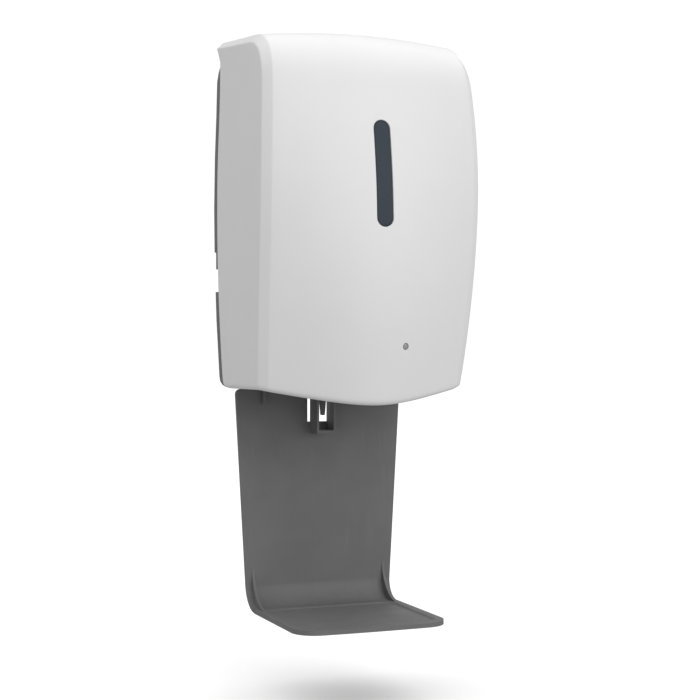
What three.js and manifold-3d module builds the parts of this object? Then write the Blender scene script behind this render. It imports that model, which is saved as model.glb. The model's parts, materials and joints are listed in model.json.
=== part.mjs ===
// Wall mounted touch-free soap dispenser with a drip tray.
// Millimetres. X runs to the right as seen by the user, +Y runs into the wall, Z is up.
// The origin is on the wall face, on the centreline, at mid height of the body.
import * as THREE from "three";
import { mergeVertices } from "three/addons/utils/BufferGeometryUtils.js";
import Module from "manifold-3d";

const wasm = await Module();
wasm.setup();

// ---------------------------------------------------------------- driving dimensions

const GAP = 0.4;

const BODY = {
  bottom: -131, tip: 127.3, halfWidth: 84.4, waist: 5, archAbove: 1316, archBelow: 1938,
  sideDepth: 111.2, bulge: 20, foreheadRadius: 410, tuckScale: 0.0057, tuckPower: 1.646,
  bevel: 6.2, bevelAtTip: 5, crownTop: 4.6, crownHigh: 11, crownLow: 26, crownFrom: 90,
  rimDip: 3.4, rimDipReach: 45, topSlope: THREE.MathUtils.degToRad(6),
  cornerFromZ: 88, cornerToY: -73, cornerFullness: 0.64, flare: 3.5, flareFrom: 60,
};
const WALL = 2.4;
const SEAM_Y = -7.5;
const SEAM_TOP_Z = 115.5;

const HINGE = { y: -15.5, z: -123, corner: 8, pinRadius: 2, pinFrom: 65.2, pinTo: 79 };
const SLOT = { halfWidth: 6.3, bottom: -15, top: 61, flange: 3.6 };
const LED = { x: 19, z: -99, radius: 2.4 };
const LOCK = { y: -22, barrel: 6, plug: 4, camZ: 109, camThickness: 2, camReach: 15 };

const PLATE = { floor: 2.6, rim: 2.4, top: 122, corner: 8, tuckFrom: 98, tuck: 3.2 };
const WALL_SLOTS = { from: 44, to: 49, halfLength: 6, heights: [102, -22] };
const NOTCH = { bottom: -58, top: -40.7, stepTop: -28, depth: 7, stepDepth: 1.3 };
const RESERVOIR = { halfX: 66, halfY: 39, y: -52, bottom: -37.2, top: 92, corner: 12, wall: 1.8 };
const NECK = { x: -35, radius: 19, bore: 17, top: 101 };
const OUTLET = { x: 52, y: -27.7, radius: 4, bore: 2.4 };

const CHASSIS = { back: -14.5, front: -93, halfX: 64.5, wall: 2.2, shelf: -40, floor: -125.2 };
const CHASSIS_SCREWS = [[-68.5, -50], [68.5, -50], [-68.5, -109], [68.5, -109]];
const BASE = { top: -125.5, bottom: -128, inset: 5.2 };
const BASE_SCREWS = [[-57.6, -86], [57.6, -86]];
const PEG = { halfTop: 3, halfEnd: 1.15, taperFrom: -133, end: -152.7, depth: [-12.3, -8.3] };
const NOZZLE = { y: -76, barbZ: -117 };
const SENSOR = { halfX: 12.8, y: -99.5 };

const CELL = { radius: 7.1, from: -58.8, to: -8.2, rows: [-56, -72.3], depths: [-24.6, -40] };
const BOARD = { front: -21.6, back: -20 };
const BOARD_POSTS = [[-56, -92], [-16, -117]];
const SWITCH = { x: -19, z: -94, slider: 3.6, travel: 4.4 };

const GEAR_MODULE = 1;
const PUMP_MODULE = 1.25;
const TEETH = { pinion: 12, reduction: 36, pump: 12 };
const GEAR_SPAN = [-45, -41];
const REDUCTION_DISTANCE = ((TEETH.pinion + TEETH.reduction) * GEAR_MODULE) / 2;
const PUMP_DISTANCE = TEETH.pump * PUMP_MODULE;
const DIAGONAL = Math.SQRT1_2;
const DRIVE = { x: 34, z: -92 };
const IDLER = { x: DRIVE.x + PUMP_DISTANCE * DIAGONAL, z: DRIVE.z - PUMP_DISTANCE * DIAGONAL };
const MOTOR = {
  x: DRIVE.x - REDUCTION_DISTANCE * DIAGONAL,
  z: DRIVE.z + REDUCTION_DISTANCE * DIAGONAL,
  radius: 10, front: -38.5, back: -15,
};
const PUMP = { front: -32, cavityBack: -23.7, back: -15, radius: 13.5, cavity: 8.9, mid: OUTLET.y };
const PUMP_SCREWS = [
  { centre: DRIVE, degrees: 165, offset: 11.2 },
  { centre: IDLER, degrees: -45, offset: 11.2 },
];

const TRAY = {
  thickness: 3, top: -132, halfTop: 68.2, halfBend: 59.5, bendZ: -285, halfShelf: 58.6,
  shelfTop: -298, shelfThickness: 3.4, bendRadius: 16, reach: 119, corner: 18,
};
const GUSSET = { from: 53, to: 55, radius: 30 };
const TAB = { x: 46, halfWidth: 1.25, depth: 3.4, top: -118, bottom: -144 };
const STIRRUP = { outer: 7.8, inner: 6, front: -19, bottom: -166.7, bar: 2.5, top: -140 };
const TRAY_NOTCH = { halfWidth: 9.8, bottom: -158 };

// ---------------------------------------------------------------- solids

/** Turns a three.js geometry into a manifold solid with its faces pointing out. */
function toSolid(source) {
  let geometry = source.clone();
  geometry.deleteAttribute("normal");
  geometry.deleteAttribute("uv");
  geometry = mergeVertices(geometry, 1e-4);
  const positions = geometry.attributes.position.array;
  const kept = [];
  const corner = (i) => new THREE.Vector3().fromArray(positions, 3 * i);
  let volume = 0;
  for (let i = 0; i < geometry.index.count; i += 3) {
    const [a, b, c] = [0, 1, 2].map((k) => geometry.index.getX(i + k));
    if (a === b || b === c || c === a) continue;
    kept.push([a, b, c]);
    volume += corner(a).dot(corner(b).cross(corner(c)));
  }
  const faces = volume < 0 ? kept.map(([a, b, c]) => [a, c, b]) : kept;
  return new wasm.Manifold(new wasm.Mesh({
    numProp: 3,
    vertProperties: new Float32Array(positions),
    triVerts: new Uint32Array(faces.flat()),
  }));
}

/** Turns a manifold solid back into a flat-shaded three.js geometry. */
function toGeometry(solid) {
  const mesh = solid.simplify(0.002).getMesh();
  const geometry = new THREE.BufferGeometry();
  geometry.setAttribute("position", new THREE.BufferAttribute(mesh.vertProperties, 3));
  geometry.setIndex(new THREE.BufferAttribute(mesh.triVerts, 1));
  return geometry;
}

const join = (first, ...others) => others.reduce((whole, other) => whole.add(other), first);
const cut = (first, ...others) => others.reduce((whole, other) => whole.subtract(other), first);

/** A box between two limits on each axis. */
function block([x0, x1], [y0, y1], [z0, z1]) {
  const geometry = new THREE.BoxGeometry(x1 - x0, y1 - y0, z1 - z0);
  return toSolid(geometry.translate((x0 + x1) / 2, (y0 + y1) / 2, (z0 + z1) / 2));
}

const AXES = {
  x: [new THREE.Vector3(0, 1, 0), new THREE.Vector3(0, 0, 1), new THREE.Vector3(1, 0, 0)],
  y: [new THREE.Vector3(1, 0, 0), new THREE.Vector3(0, 0, 1), new THREE.Vector3(0, -1, 0)],
  z: [new THREE.Vector3(1, 0, 0), new THREE.Vector3(0, 1, 0), new THREE.Vector3(0, 0, 1)],
};

/** Extrudes a closed outline along an axis. The outline is in the other two coordinates. */
function prism(axis, outline, [from, to]) {
  const shape = outline instanceof THREE.Shape ? outline : polygon(outline);
  const geometry = new THREE.ExtrudeGeometry(shape, {
    depth: to - from, bevelEnabled: false, curveSegments: 4,
  });
  const turn = new THREE.Matrix4().makeBasis(...AXES[axis]);
  const shift = AXES[axis][2].clone().multiplyScalar(axis === "y" ? -to : from);
  return toSolid(geometry.applyMatrix4(turn).translate(shift.x, shift.y, shift.z));
}

function polygon(points) {
  return new THREE.Shape(points.map(([a, b]) => new THREE.Vector2(a, b)));
}

/** A rectangle with round corners, as a shape. */
function roundedRectangle([a0, a1], [b0, b1], radius) {
  const shape = new THREE.Shape();
  shape.absarc(a1 - radius, b1 - radius, radius, 0, Math.PI / 2);
  shape.absarc(a0 + radius, b1 - radius, radius, Math.PI / 2, Math.PI);
  shape.absarc(a0 + radius, b0 + radius, radius, Math.PI, 1.5 * Math.PI);
  shape.absarc(a1 - radius, b0 + radius, radius, 1.5 * Math.PI, 2 * Math.PI);
  shape.closePath();
  return shape;
}

/** A round bar along an axis; centre holds its other two coordinates in x, y, z order. */
function rod(axis, radius, [from, to], centre, sides = 16) {
  const outline = Array.from({ length: sides }, (_, i) => {
    const angle = (2 * Math.PI * i) / sides;
    return [centre[0] + radius * Math.cos(angle), centre[1] + radius * Math.sin(angle)];
  });
  return prism(axis, outline, [from, to]);
}

/** Turns a closed profile of [radius, height] round a vertical axis. */
function turned(profile, [x, y], sides = 24) {
  const points = profile.map(([r, h]) => new THREE.Vector2(r, h));
  const geometry = new THREE.LatheGeometry(points, sides);
  return toSolid(geometry.rotateX(Math.PI / 2).translate(x, y, 0));
}

/** A pan-head screw along Y with its head at the front. */
function frontScrew(x, z, seatY, length, head = 3) {
  const shank = rod("y", 1.3, [seatY - 0.1, seatY + length], [x, z], 10);
  return join(shank, rod("y", head, [seatY - 2, seatY], [x, z], 14));
}

// ---------------------------------------------------------------- body surface

function halfWidth(z, y = 0) {
  const off = z - BODY.waist;
  const high = THREE.MathUtils.clamp((z - BODY.flareFrom) / (BODY.tip - BODY.flareFrom), 0, 1);
  const flare = BODY.flare * high ** 2 * Math.max(0, 1 + y / BODY.sideDepth);
  const sag = (off * off) / (2 * (off > 0 ? BODY.archAbove : BODY.archBelow));
  return BODY.halfWidth - sag + flare;
}

/** How far the side face reaches forward at a height below the top corner. */
function sideDepth(z) {
  const off = z - BODY.bulge;
  if (off > 0) return BODY.sideDepth - (off * off) / (2 * BODY.foreheadRadius);
  return BODY.sideDepth - BODY.tuckScale * (-off) ** BODY.tuckPower;
}

const topEdgeZ = (y) => BODY.tip + y * Math.tan(BODY.topSlope);

/** The outline of the side face, from the front of the rim up and over to the wall. */
function sideProfile(inset, tipY) {
  const points = [];
  const frontSteps = 9;
  for (let i = 0; i <= frontSteps; i += 1) {
    const z = THREE.MathUtils.lerp(BODY.bottom, BODY.cornerFromZ, i / frontSteps);
    points.push({ y: -sideDepth(z), z, along: (0.62 * i) / frontSteps });
  }
  const start = points[points.length - 1];
  const lean = (BODY.cornerFromZ - BODY.bulge) / BODY.foreheadRadius;
  const endZ = topEdgeZ(BODY.cornerToY);
  const slope = Math.tan(BODY.topSlope);
  const reach = (endZ - start.z + slope * (start.y - BODY.cornerToY)) / (1 - slope * lean);
  const apex = new THREE.Vector2(start.y + reach * lean, start.z + reach);
  const first = new THREE.Vector2(start.y, start.z);
  const last = new THREE.Vector2(BODY.cornerToY, endZ);
  const corner = new THREE.CubicBezierCurve(
    first, first.clone().lerp(apex, BODY.cornerFullness),
    last.clone().lerp(apex, BODY.cornerFullness), last);
  const cornerSteps = 6;
  for (let i = 1; i <= cornerSteps; i += 1) {
    const p = corner.getPoint(i / cornerSteps);
    points.push({ y: p.x, z: p.y, along: 0.62 + (0.26 * i) / cornerSteps });
  }
  for (const share of [0.5, 1]) {
    const y = THREE.MathUtils.lerp(BODY.cornerToY, tipY, share);
    points.push({ y, z: topEdgeZ(y), along: 0.88 + 0.12 * share });
  }
  return points.map((point, i) => {
    const before = points[Math.max(i - 1, 0)];
    const after = points[Math.min(i + 1, points.length - 1)];
    const tangent = new THREE.Vector2(after.y - before.y, after.z - before.z).normalize();
    const [ny, nz] = [-tangent.y, tangent.x];
    return { ...point, ny, nz, y: point.y - inset * ny, z: point.z - inset * nz, outerZ: point.z };
  });
}

/** The cross curve of the front: 0 at the side edges, 1 on the centreline. */
function prow(u, z) {
  const level = THREE.MathUtils.clamp(z, BODY.bottom, BODY.crownFrom);
  const softness = THREE.MathUtils.mapLinear(level, BODY.bottom, BODY.crownFrom, 0.45, 1.6);
  const rise = Math.hypot(u, softness) - softness;
  return 1 - rise / (Math.hypot(1, softness) - softness);
}

/** The point of the seam that belongs to a station of the side profile. */
function seamPoint(along, rearY) {
  const bend = 0.94;
  if (rearY !== SEAM_Y) {
    return { y: rearY, z: THREE.MathUtils.lerp(BODY.bottom, topEdgeZ(rearY), along) };
  }
  if (along <= bend) {
    return { y: SEAM_Y, z: THREE.MathUtils.lerp(BODY.bottom, SEAM_TOP_Z, along / bend) };
  }
  const share = (along - bend) / (1 - bend);
  return {
    y: THREE.MathUtils.lerp(SEAM_Y, 0, share),
    z: THREE.MathUtils.lerp(SEAM_TOP_Z, BODY.tip, share),
  };
}

/** One rib of the body: from the left seam round the front to the right seam. */
function rib(station, inset, rearY, drop) {
  const onTop = THREE.MathUtils.smoothstep(station.along, 0.5, 0.86);
  const low = THREE.MathUtils.smoothstep(BODY.crownFrom - station.outerZ, 0, 185);
  const crownFront = THREE.MathUtils.lerp(BODY.crownHigh, BODY.crownLow, low);
  const crown = THREE.MathUtils.lerp(crownFront, BODY.crownTop, onTop);
  const taper = THREE.MathUtils.smoothstep(station.along, 0.88, 1);
  const bevel = THREE.MathUtils.lerp(BODY.bevel, BODY.bevelAtTip, taper);
  const nearRim = Math.max(0, 1 - (station.outerZ - BODY.bottom) / BODY.rimDipReach);
  const half = halfWidth(station.outerZ, station.y) - inset;
  const seam = seamPoint(station.along, rearY);

  const side = [0, 0.5, 1].map((share) => {
    const z = THREE.MathUtils.lerp(seam.z, station.z, share);
    const y = THREE.MathUtils.lerp(seam.y, station.y, share);
    return new THREE.Vector3(halfWidth(z, y) - inset, y, z - drop);
  });
  side[2].x = half;
  const across = [];
  const steps = 12;
  for (let i = 0; i <= steps; i += 1) {
    const u = (2 * i) / steps - 1;
    const lift = bevel + crown * prow(u, station.outerZ);
    const dip = BODY.rimDip * nearRim * prow(u, station.outerZ);
    across.push(new THREE.Vector3(
      u * (half - bevel), station.y + lift * station.ny, station.z + lift * station.nz - dip - drop));
  }
  const left = side.map((p) => new THREE.Vector3(-p.x, p.y, p.z));
  return [...left, ...across, ...side.reverse()];
}

/** The closed body, set in from its outside by inset; deep ones run past the seam and the rim. */
function bodySolid(inset, deep = inset > 0) {
  const rearY = deep ? 8 : SEAM_Y;
  const stations = sideProfile(inset, deep ? rearY : 0);
  const ribs = stations.map((station) => rib(station, inset, rearY, 0));
  if (deep) ribs.unshift(rib(stations[0], inset, rearY, 44));
  const count = ribs[0].length;
  const faces = [];
  for (let i = 0; i + 1 < ribs.length; i += 1) {
    for (let k = 0; k < count; k += 1) {
      const next = (k + 1) % count;
      const [a, b] = [i * count + k, i * count + next];
      faces.push([a, b, b + count], [a, b + count, a + count]);
    }
  }
  const capFaces = (start) => {
    const cap = [];
    for (let k = 0; k < Math.floor(count / 2); k += 1) {
      const [left, right] = [start + k, start + count - 1 - k];
      cap.push([left, left + 1, right]);
      if (left + 1 !== right - 1) cap.push([left + 1, right - 1, right]);
    }
    return cap;
  };
  faces.push(...capFaces(0).map(([a, b, c]) => [a, c, b]));
  faces.push(...capFaces((ribs.length - 1) * count));
  const geometry = new THREE.BufferGeometry();
  const positions = ribs.flat().flatMap((p) => [p.x, p.y, p.z]);
  geometry.setAttribute("position", new THREE.Float32BufferAttribute(positions, 3));
  geometry.setIndex(faces.flat());
  return toSolid(geometry);
}

/** Height of the outer surface on the centreline above a given depth on the flat of the top. */
function topCentreZ(y) {
  return topEdgeZ(y) + (BODY.bevel + BODY.crownTop) * Math.cos(BODY.topSlope) - 1;
}

const LOCK_SEAT_Z = topCentreZ(LOCK.y) - 2.4;

// ---------------------------------------------------------------- cover and its fittings

function slotOutline(grow) {
  const radius = SLOT.halfWidth + grow;
  return roundedRectangle([-radius, radius], [SLOT.bottom - grow, SLOT.top + grow], radius - 0.01);
}

function frontCover() {
  const rearCorner = cut(
    block([-95, 95], [HINGE.y, 5], [BODY.bottom - 12, HINGE.z]),
    rod("x", HINGE.corner, [-96, 96], [HINGE.y, HINGE.z], 32));
  let cover = cut(bodySolid(0), bodySolid(WALL), rearCorner);
  for (const side of [-1, 1]) {
    const inner = side * 73.5;
    const span = side > 0 ? [inner, 79] : [-79, inner];
    const pinHole = side > 0 ? [73, HINGE.pinTo + GAP] : [-HINGE.pinTo - GAP, -73];
    cover = join(cover, rod("x", 5.6, span, [HINGE.y, HINGE.z]));
    cover = cut(cover, rod("x", HINGE.pinRadius + GAP, pinHole, [HINGE.y, HINGE.z]));
  }
  const lockBoss = rod("z", 11, [LOCK_SEAT_Z - 3.2, 150], [0, LOCK.y]).intersect(bodySolid(0.6));
  cover = join(cover, lockBoss);
  return cut(cover,
    prism("y", slotOutline(0), [-170, -100]),
    rod("y", LED.radius, [-170, -100], [LED.x, LED.z], 16),
    rod("z", 8.5, [LOCK_SEAT_Z, 150], [0, LOCK.y]),
    rod("z", LOCK.barrel + GAP, [100, 150], [0, LOCK.y]));
}

function viewingWindow() {
  const pane = prism("y", slotOutline(-GAP), [-170, -100]).intersect(bodySolid(0.7));
  const flange = prism("y", slotOutline(SLOT.flange), [-170, -100]).intersect(bodySolid(WALL + GAP));
  return cut(join(pane, flange), bodySolid(WALL + GAP + 1.6));
}

function indicatorLens() {
  return rod("y", LED.radius - GAP, [-170, -116], [LED.x, LED.z], 16).intersect(bodySolid(0.3));
}

function hingePin(side) {
  const span = side > 0 ? [HINGE.pinFrom, HINGE.pinTo] : [-HINGE.pinTo, -HINGE.pinFrom];
  return rod("x", HINGE.pinRadius, span, [HINGE.y, HINGE.z], 16);
}

function lockBarrel() {
  const head = rod("z", 8, [LOCK_SEAT_Z + 0.3, LOCK_SEAT_Z + 1.8], [0, LOCK.y]);
  const tube = rod("z", LOCK.barrel, [LOCK.camZ + 3.4, LOCK_SEAT_Z + 0.4], [0, LOCK.y]);
  return cut(join(head, tube), rod("z", LOCK.plug + 0.3, [100, 150], [0, LOCK.y]));
}

function lockNut() {
  const top = LOCK_SEAT_Z - 3.5;
  const hexagon = rod("z", 10, [top - 4, top], [0, LOCK.y], 6);
  return cut(hexagon, rod("z", LOCK.barrel + 0.3, [top - 5, top + 1], [0, LOCK.y]));
}

function lockPlug() {
  const top = LOCK_SEAT_Z + 1.8;
  const plug = rod("z", LOCK.plug, [LOCK.camZ + 2.3, top], [0, LOCK.y]);
  return cut(plug,
    block([-0.6, 0.6], [LOCK.y - 2.6, LOCK.y + 2.6], [top - 6, top + 1]),
    rod("z", 1.7, [LOCK.camZ, LOCK.camZ + 9], [0, LOCK.y], 12));
}

function lockCam() {
  const span = [LOCK.camZ, LOCK.camZ + LOCK.camThickness];
  const hub = rod("z", 5.6, span, [0, LOCK.y]);
  const tongue = block([-3, 3], [LOCK.y, LOCK.y + LOCK.camReach], span);
  return cut(join(hub, tongue), rod("z", 1.7, [100, 120], [0, LOCK.y], 12));
}

function camScrew() {
  const head = rod("z", 3.2, [LOCK.camZ - 2.3, LOCK.camZ - 0.3], [0, LOCK.y], 14);
  return join(head, rod("z", 1.3, [LOCK.camZ - 0.4, LOCK.camZ + 7], [0, LOCK.y], 10));
}

// ---------------------------------------------------------------- back plate

/** The flush outline of the back plate, drawn in to tuck under the lip at the top. */
function plateHalfWidth(z, inset) {
  const share = Math.max(0, z - PLATE.tuckFrom) / (SEAM_TOP_Z - PLATE.tuckFrom);
  return halfWidth(z) - Math.min(PLATE.tuck * share ** 2, PLATE.tuck + 0.2) - inset;
}

function plateOutline(inset) {
  const [bottom, top, radius] = [BODY.bottom + inset, PLATE.top - inset, PLATE.corner - inset];
  const right = [];
  for (let i = 0; i <= 4; i += 1) {
    const angle = -Math.PI / 2 + (i / 4) * (Math.PI / 2);
    right.push([
      plateHalfWidth(bottom + radius, inset) - radius + radius * Math.cos(angle),
      bottom + radius + radius * Math.sin(angle)]);
  }
  for (const z of [-80, -35, 5, 45, 75, 90, 102, 109, SEAM_TOP_Z]) {
    right.push([plateHalfWidth(z, inset), z]);
  }
  right.push([plateHalfWidth(top - 4, inset), top - 4]);
  right.push([plateHalfWidth(top, inset) - 4, top]);
  return [...right, ...right.map(([x, z]) => [-x, z]).reverse()];
}

function backPlate() {
  const front = SEAM_Y + GAP;
  let plate = prism("y", plateOutline(0), [front, 0]);
  plate = cut(plate, prism("y", plateOutline(PLATE.rim), [front - 1, -PLATE.floor]));
  for (const side of [-1, 1]) {
    const ordered = (a, b) => (side > 0 ? [a, b] : [-b, -a]);
    const lugX = ordered(66, 72);
    const lug = join(
      rod("x", 6, lugX, [HINGE.y, HINGE.z]),
      block(lugX, [HINGE.y, -1], [HINGE.z - 6, HINGE.z + 6]));
    const rail = block(ordered(68.2, 70.4), [-34, -1], [30, 86]);
    plate = join(plate, lug, rail);
    plate = cut(plate,
      rod("x", HINGE.pinRadius + 0.3, ordered(60, 75), [HINGE.y, HINGE.z]),
      block(ordered(halfWidth(NOTCH.top) - NOTCH.depth, 90), [-9, 1], [NOTCH.bottom, NOTCH.top]),
      block(ordered(halfWidth(NOTCH.stepTop) - NOTCH.stepDepth, 90), [-9, 1], [NOTCH.top, NOTCH.stepTop]),
      block(ordered(TAB.x - 1.8, TAB.x + 1.8), [-9, -PLATE.floor], [BODY.bottom - 1, BODY.bottom + 4]));
    for (const z of WALL_SLOTS.heights) {
      const slot = roundedRectangle(
        ordered(WALL_SLOTS.from, WALL_SLOTS.to), [z - WALL_SLOTS.halfLength, z + WALL_SLOTS.halfLength],
        (WALL_SLOTS.to - WALL_SLOTS.from) / 2 - 0.01);
      plate = cut(plate, prism("y", slot, [-9, 1]));
    }
  }
  for (const [x, z] of CHASSIS_SCREWS) {
    plate = join(plate, rod("y", 4, [-11.7, -1], [x, z], 12));
    plate = cut(plate, rod("y", 1.7, [-12, -4], [x, z], 8));
  }
  return cut(plate, rod("y", 1.7, [-9, -1], [12.5, 100.5], 12));
}

/** The steel catch that the lock's tongue turns behind. */
function lockStrike() {
  const [x, arm] = [[8, 17], [LOCK.camZ - 4, LOCK.camZ - 2]];
  const strike = join(
    block(x, [-31, -3.1], arm),
    block(x, [-31, -28.6], [arm[0], LOCK.camZ + 3]),
    block(x, [-4.8, -3.1], [95, arm[1]]));
  return cut(strike, rod("y", 1.7, [-9, 0], [12.5, 100.5], 12));
}

const strikeScrew = () => frontScrew(12.5, 100.5, -5.1, 3.6, 2.6);

// ---------------------------------------------------------------- soap reservoir

function reservoirOutline(inset) {
  const { halfX, halfY, y, corner } = RESERVOIR;
  return roundedRectangle(
    [-halfX + inset, halfX - inset], [y - halfY + inset, y + halfY - inset], corner - inset);
}

function reservoir() {
  const { bottom, top, wall, y } = RESERVOIR;
  const outside = join(
    prism("z", reservoirOutline(0), [bottom, top]),
    rod("z", NECK.radius, [top - 1, NECK.top], [NECK.x, y], 24),
    rod("z", OUTLET.radius, [bottom - 12.8, bottom + 1], [OUTLET.x, OUTLET.y], 16));
  return cut(outside,
    prism("z", reservoirOutline(wall), [bottom + wall, top - wall]),
    rod("z", NECK.bore, [top - 4, NECK.top + 1], [NECK.x, y], 24),
    rod("z", OUTLET.bore, [bottom - 14, bottom + 4], [OUTLET.x, OUTLET.y], 16));
}

function reservoirCap() {
  return turned([
    [0, 106], [21.5, 106], [22.5, 105], [22.5, 93.4], [19.5, 93.4], [19.5, 103.4], [0, 103.4],
  ], [NECK.x, RESERVOIR.y], 24);
}

function capSeal() {
  return turned([
    [15.5, 101.3], [18.8, 101.3], [18.8, 103.1], [15.5, 103.1], [15.5, 101.3],
  ], [NECK.x, RESERVOIR.y], 24);
}

// ---------------------------------------------------------------- pump chassis and base panel

function pumpChassis() {
  const { back, front, halfX, wall, shelf, floor } = CHASSIS;
  let chassis = join(
    block([-halfX, halfX], [back, back + 2.5], [-122, shelf]),
    block([-66, 66], [front, back + 2.5], [shelf, shelf + 2.5]),
    block([-66, 66], [front - 2, front], [shelf, shelf + 12]));
  for (const side of [-1, 1]) {
    const ordered = (a, b) => (side > 0 ? [a, b] : [-b, -a]);
    chassis = join(chassis,
      block(ordered(halfX - wall, halfX), [front, back + 2.5], [floor, shelf + 1]),
      block(ordered(halfX - 8, halfX - wall + 0.5), [-89.5, -82.5], [floor, floor + 12]),
      block(ordered(halfX - 1, 73), [back, back + 2.5], [-57, -43]),
      block(ordered(halfX - 1, 73), [back, back + 2.5], [-115, -103]));
  }
  for (const [x, z] of CHASSIS_SCREWS) chassis = cut(chassis, rod("y", 1.8, [-20, -5], [x, z], 12));
  for (const [x, y] of BASE_SCREWS) chassis = cut(chassis, rod("z", 1.7, [-130, -115], [x, y], 12));
  for (const [x, z] of BOARD_POSTS) {
    chassis = join(chassis, rod("y", 2.4, [BOARD.front + 2, back + 0.5], [x, z], 12));
  }
  for (const [x, z] of pumpScrewPlaces()) chassis = cut(chassis, rod("y", 1.7, [-20, -10], [x, z], 12));
  return cut(chassis, rod("z", 6.4, [shelf - 1, shelf + 4], [OUTLET.x, OUTLET.y], 20));
}

/** The dispenser's underside, with the peg that the drip tray's stirrup slides up around. */
function basePanel() {
  const slab = block([-90, 90], [-150, SEAM_Y - 0.1], [BASE.bottom, BASE.top]);
  let panel = bodySolid(BASE.inset).intersect(slab);
  for (const side of [-1, 1]) {
    const ordered = (a, b) => (side > 0 ? [a, b] : [-b, -a]);
    panel = cut(panel, block(ordered(63.5, 90), [-27, 5], [-140, -120]));
    panel = join(panel, rod("z", 1.8, [BASE.bottom + 1, -120], [side * 13, -93.6], 10));
  }
  const half = [[PEG.halfTop, BASE.bottom + 1], [PEG.halfTop, PEG.taperFrom], [PEG.halfEnd, PEG.end]];
  const pegFace = polygon([...half.map(([x, z]) => [-x, z]), ...half.reverse()]);
  panel = join(panel,
    prism("y", pegFace, PEG.depth),
    block([17, 26], [-108.4, -107.3], [BASE.bottom + 1, -119]),
    rod("z", 8.4, [BASE.bottom - 1.6, BASE.bottom + 1], [0, NOZZLE.y], 24));
  for (const [x, y] of BASE_SCREWS) panel = cut(panel, rod("z", 1.8, [-131, -120], [x, y], 12));
  return cut(panel,
    rod("z", 6.6, [-132, -120], [0, NOZZLE.y], 24),
    block([-SENSOR.halfX, SENSOR.halfX], [SENSOR.y - 5, SENSOR.y + 5], [-132, -120]));
}

/** A screw that holds the base panel up to the chassis, with its head underneath. */
function baseScrew([x, y]) {
  const head = rod("z", 3, [BASE.bottom - 2.3, BASE.bottom - 0.3], [x, y], 14);
  return join(head, rod("z", 1.3, [BASE.bottom - 0.4, BASE.bottom + 11], [x, y], 10));
}

// ---------------------------------------------------------------- power and electronics

function batteryBox() {
  return join(
    cut(block([-61.5, -5.5], [-50, -15], [-82, -46]),
      block([-59.9, -7.1], [-51, -17], [-80.2, -47.8])),
    block([-58.7, -8.3], [-47, -16.5], [-64.6, -63.5]));
}

/** One AA cell with its button; the button faces right in even cells. */
function cell(index) {
  const centre = [CELL.depths[index % 2], CELL.rows[Math.floor(index / 2)]];
  const flipped = index % 2 === 1;
  const can = flipped ? [CELL.from + 1.2, CELL.to] : [CELL.from, CELL.to - 1.2];
  const button = flipped ? [CELL.from, CELL.from + 2] : [CELL.to - 2, CELL.to];
  return join(rod("x", CELL.radius, can, centre, 20), rod("x", 2.7, button, centre, 12));
}

const contactStrip = (x) => block([x, x + 0.5], [-47.5, -18.5], [-79.4, -48.6]);

const mainBoard = () => block([-60, -12], [BOARD.front, BOARD.back], [-121, -88]);
const boardConnector = () => cut(
  block([-34, -24], [-28.4, BOARD.front - 0.3], [-119.5, -113.5]),
  block([-33, -25], [-29, -23.5], [-118.7, -114.3]));

function switchBody() {
  const { x, z, slider, travel } = SWITCH;
  const halfSlot = (slider + travel) / 2 + GAP;
  return cut(
    block([x - halfSlot - 1.1, x + halfSlot + 1.1], [-27.4, BOARD.front - 0.3], [z - 3, z + 3]),
    block([x - halfSlot, x + halfSlot], [-28, -24.6], [z - 1.2, z + 1.2]));
}

/** The slider at its off end, its travel short of on. */
function switchSlider() {
  const { x, z, slider, travel } = SWITCH;
  const left = x - (slider + travel) / 2;
  return block([left, left + slider], [-30.4, -25], [z - 0.8, z + 0.8]);
}

const sensorBoard = () => block([-15, 15], [SENSOR.y - 6.5, SENSOR.y + 7.5], [-119.6, -118]);
const sensorWindow = () => block(
  [-SENSOR.halfX + 0.3, SENSOR.halfX - 0.3], [SENSOR.y - 4.7, SENSOR.y + 4.7], [-127.8, -125.7]);

function sensorDiode(x) {
  return turned([
    [0, -119.9], [3, -119.9], [3, -120.8], [2.5, -120.8], [2.5, -123], [1.9, -124.4], [0, -124.9],
  ], [x, SENSOR.y], 14);
}

const indicatorBoard = () => block([15.8, 27], [-107, -105.4], [-125.1, -92]);
const indicatorDiode = () => rod("y", 2.3, [-111.6, -107.3], [LED.x, LED.z], 14);

// ---------------------------------------------------------------- gear train and pump

/** The outline of a 20 degree spur gear, with its tooth flanks as short chords. */
function gearOutline(teeth, module, turn = 0) {
  const [pitch, backlash] = [(teeth * module) / 2, 0.3];
  const pressure = THREE.MathUtils.degToRad(20);
  const base = pitch * Math.cos(pressure);
  const [tip, root] = [pitch + 0.8 * module, pitch - 1.2 * module];
  const involute = (radius) => {
    const angle = Math.acos(Math.min(1, base / Math.max(radius, base)));
    return Math.tan(angle) - angle;
  };
  const halfTooth = Math.PI / (2 * teeth) - backlash / (2 * pitch);
  const flank = [root, (Math.max(base, root) + tip) / 2, tip].map((radius) => [
    radius, Math.max(halfTooth + involute(pitch) - involute(radius), 0.02)]);
  const outline = [];
  for (let i = 0; i < teeth; i += 1) {
    const middle = turn + (2 * Math.PI * i) / teeth;
    for (const [radius, half] of flank) outline.push([radius, middle - half]);
    for (const [radius, half] of [...flank].reverse()) outline.push([radius, middle + half]);
  }
  return outline.map(([radius, angle]) => [radius * Math.cos(angle), radius * Math.sin(angle)]);
}

function gear(teeth, module, centre, span, bore, turn) {
  const outline = gearOutline(teeth, module, turn).map(([a, b]) => [centre.x + a, centre.z + b]);
  const wheel = prism("y", outline, span);
  return cut(wheel, rod("y", bore, [span[0] - 1, span[1] + 1], [centre.x, centre.z], 14));
}

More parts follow.
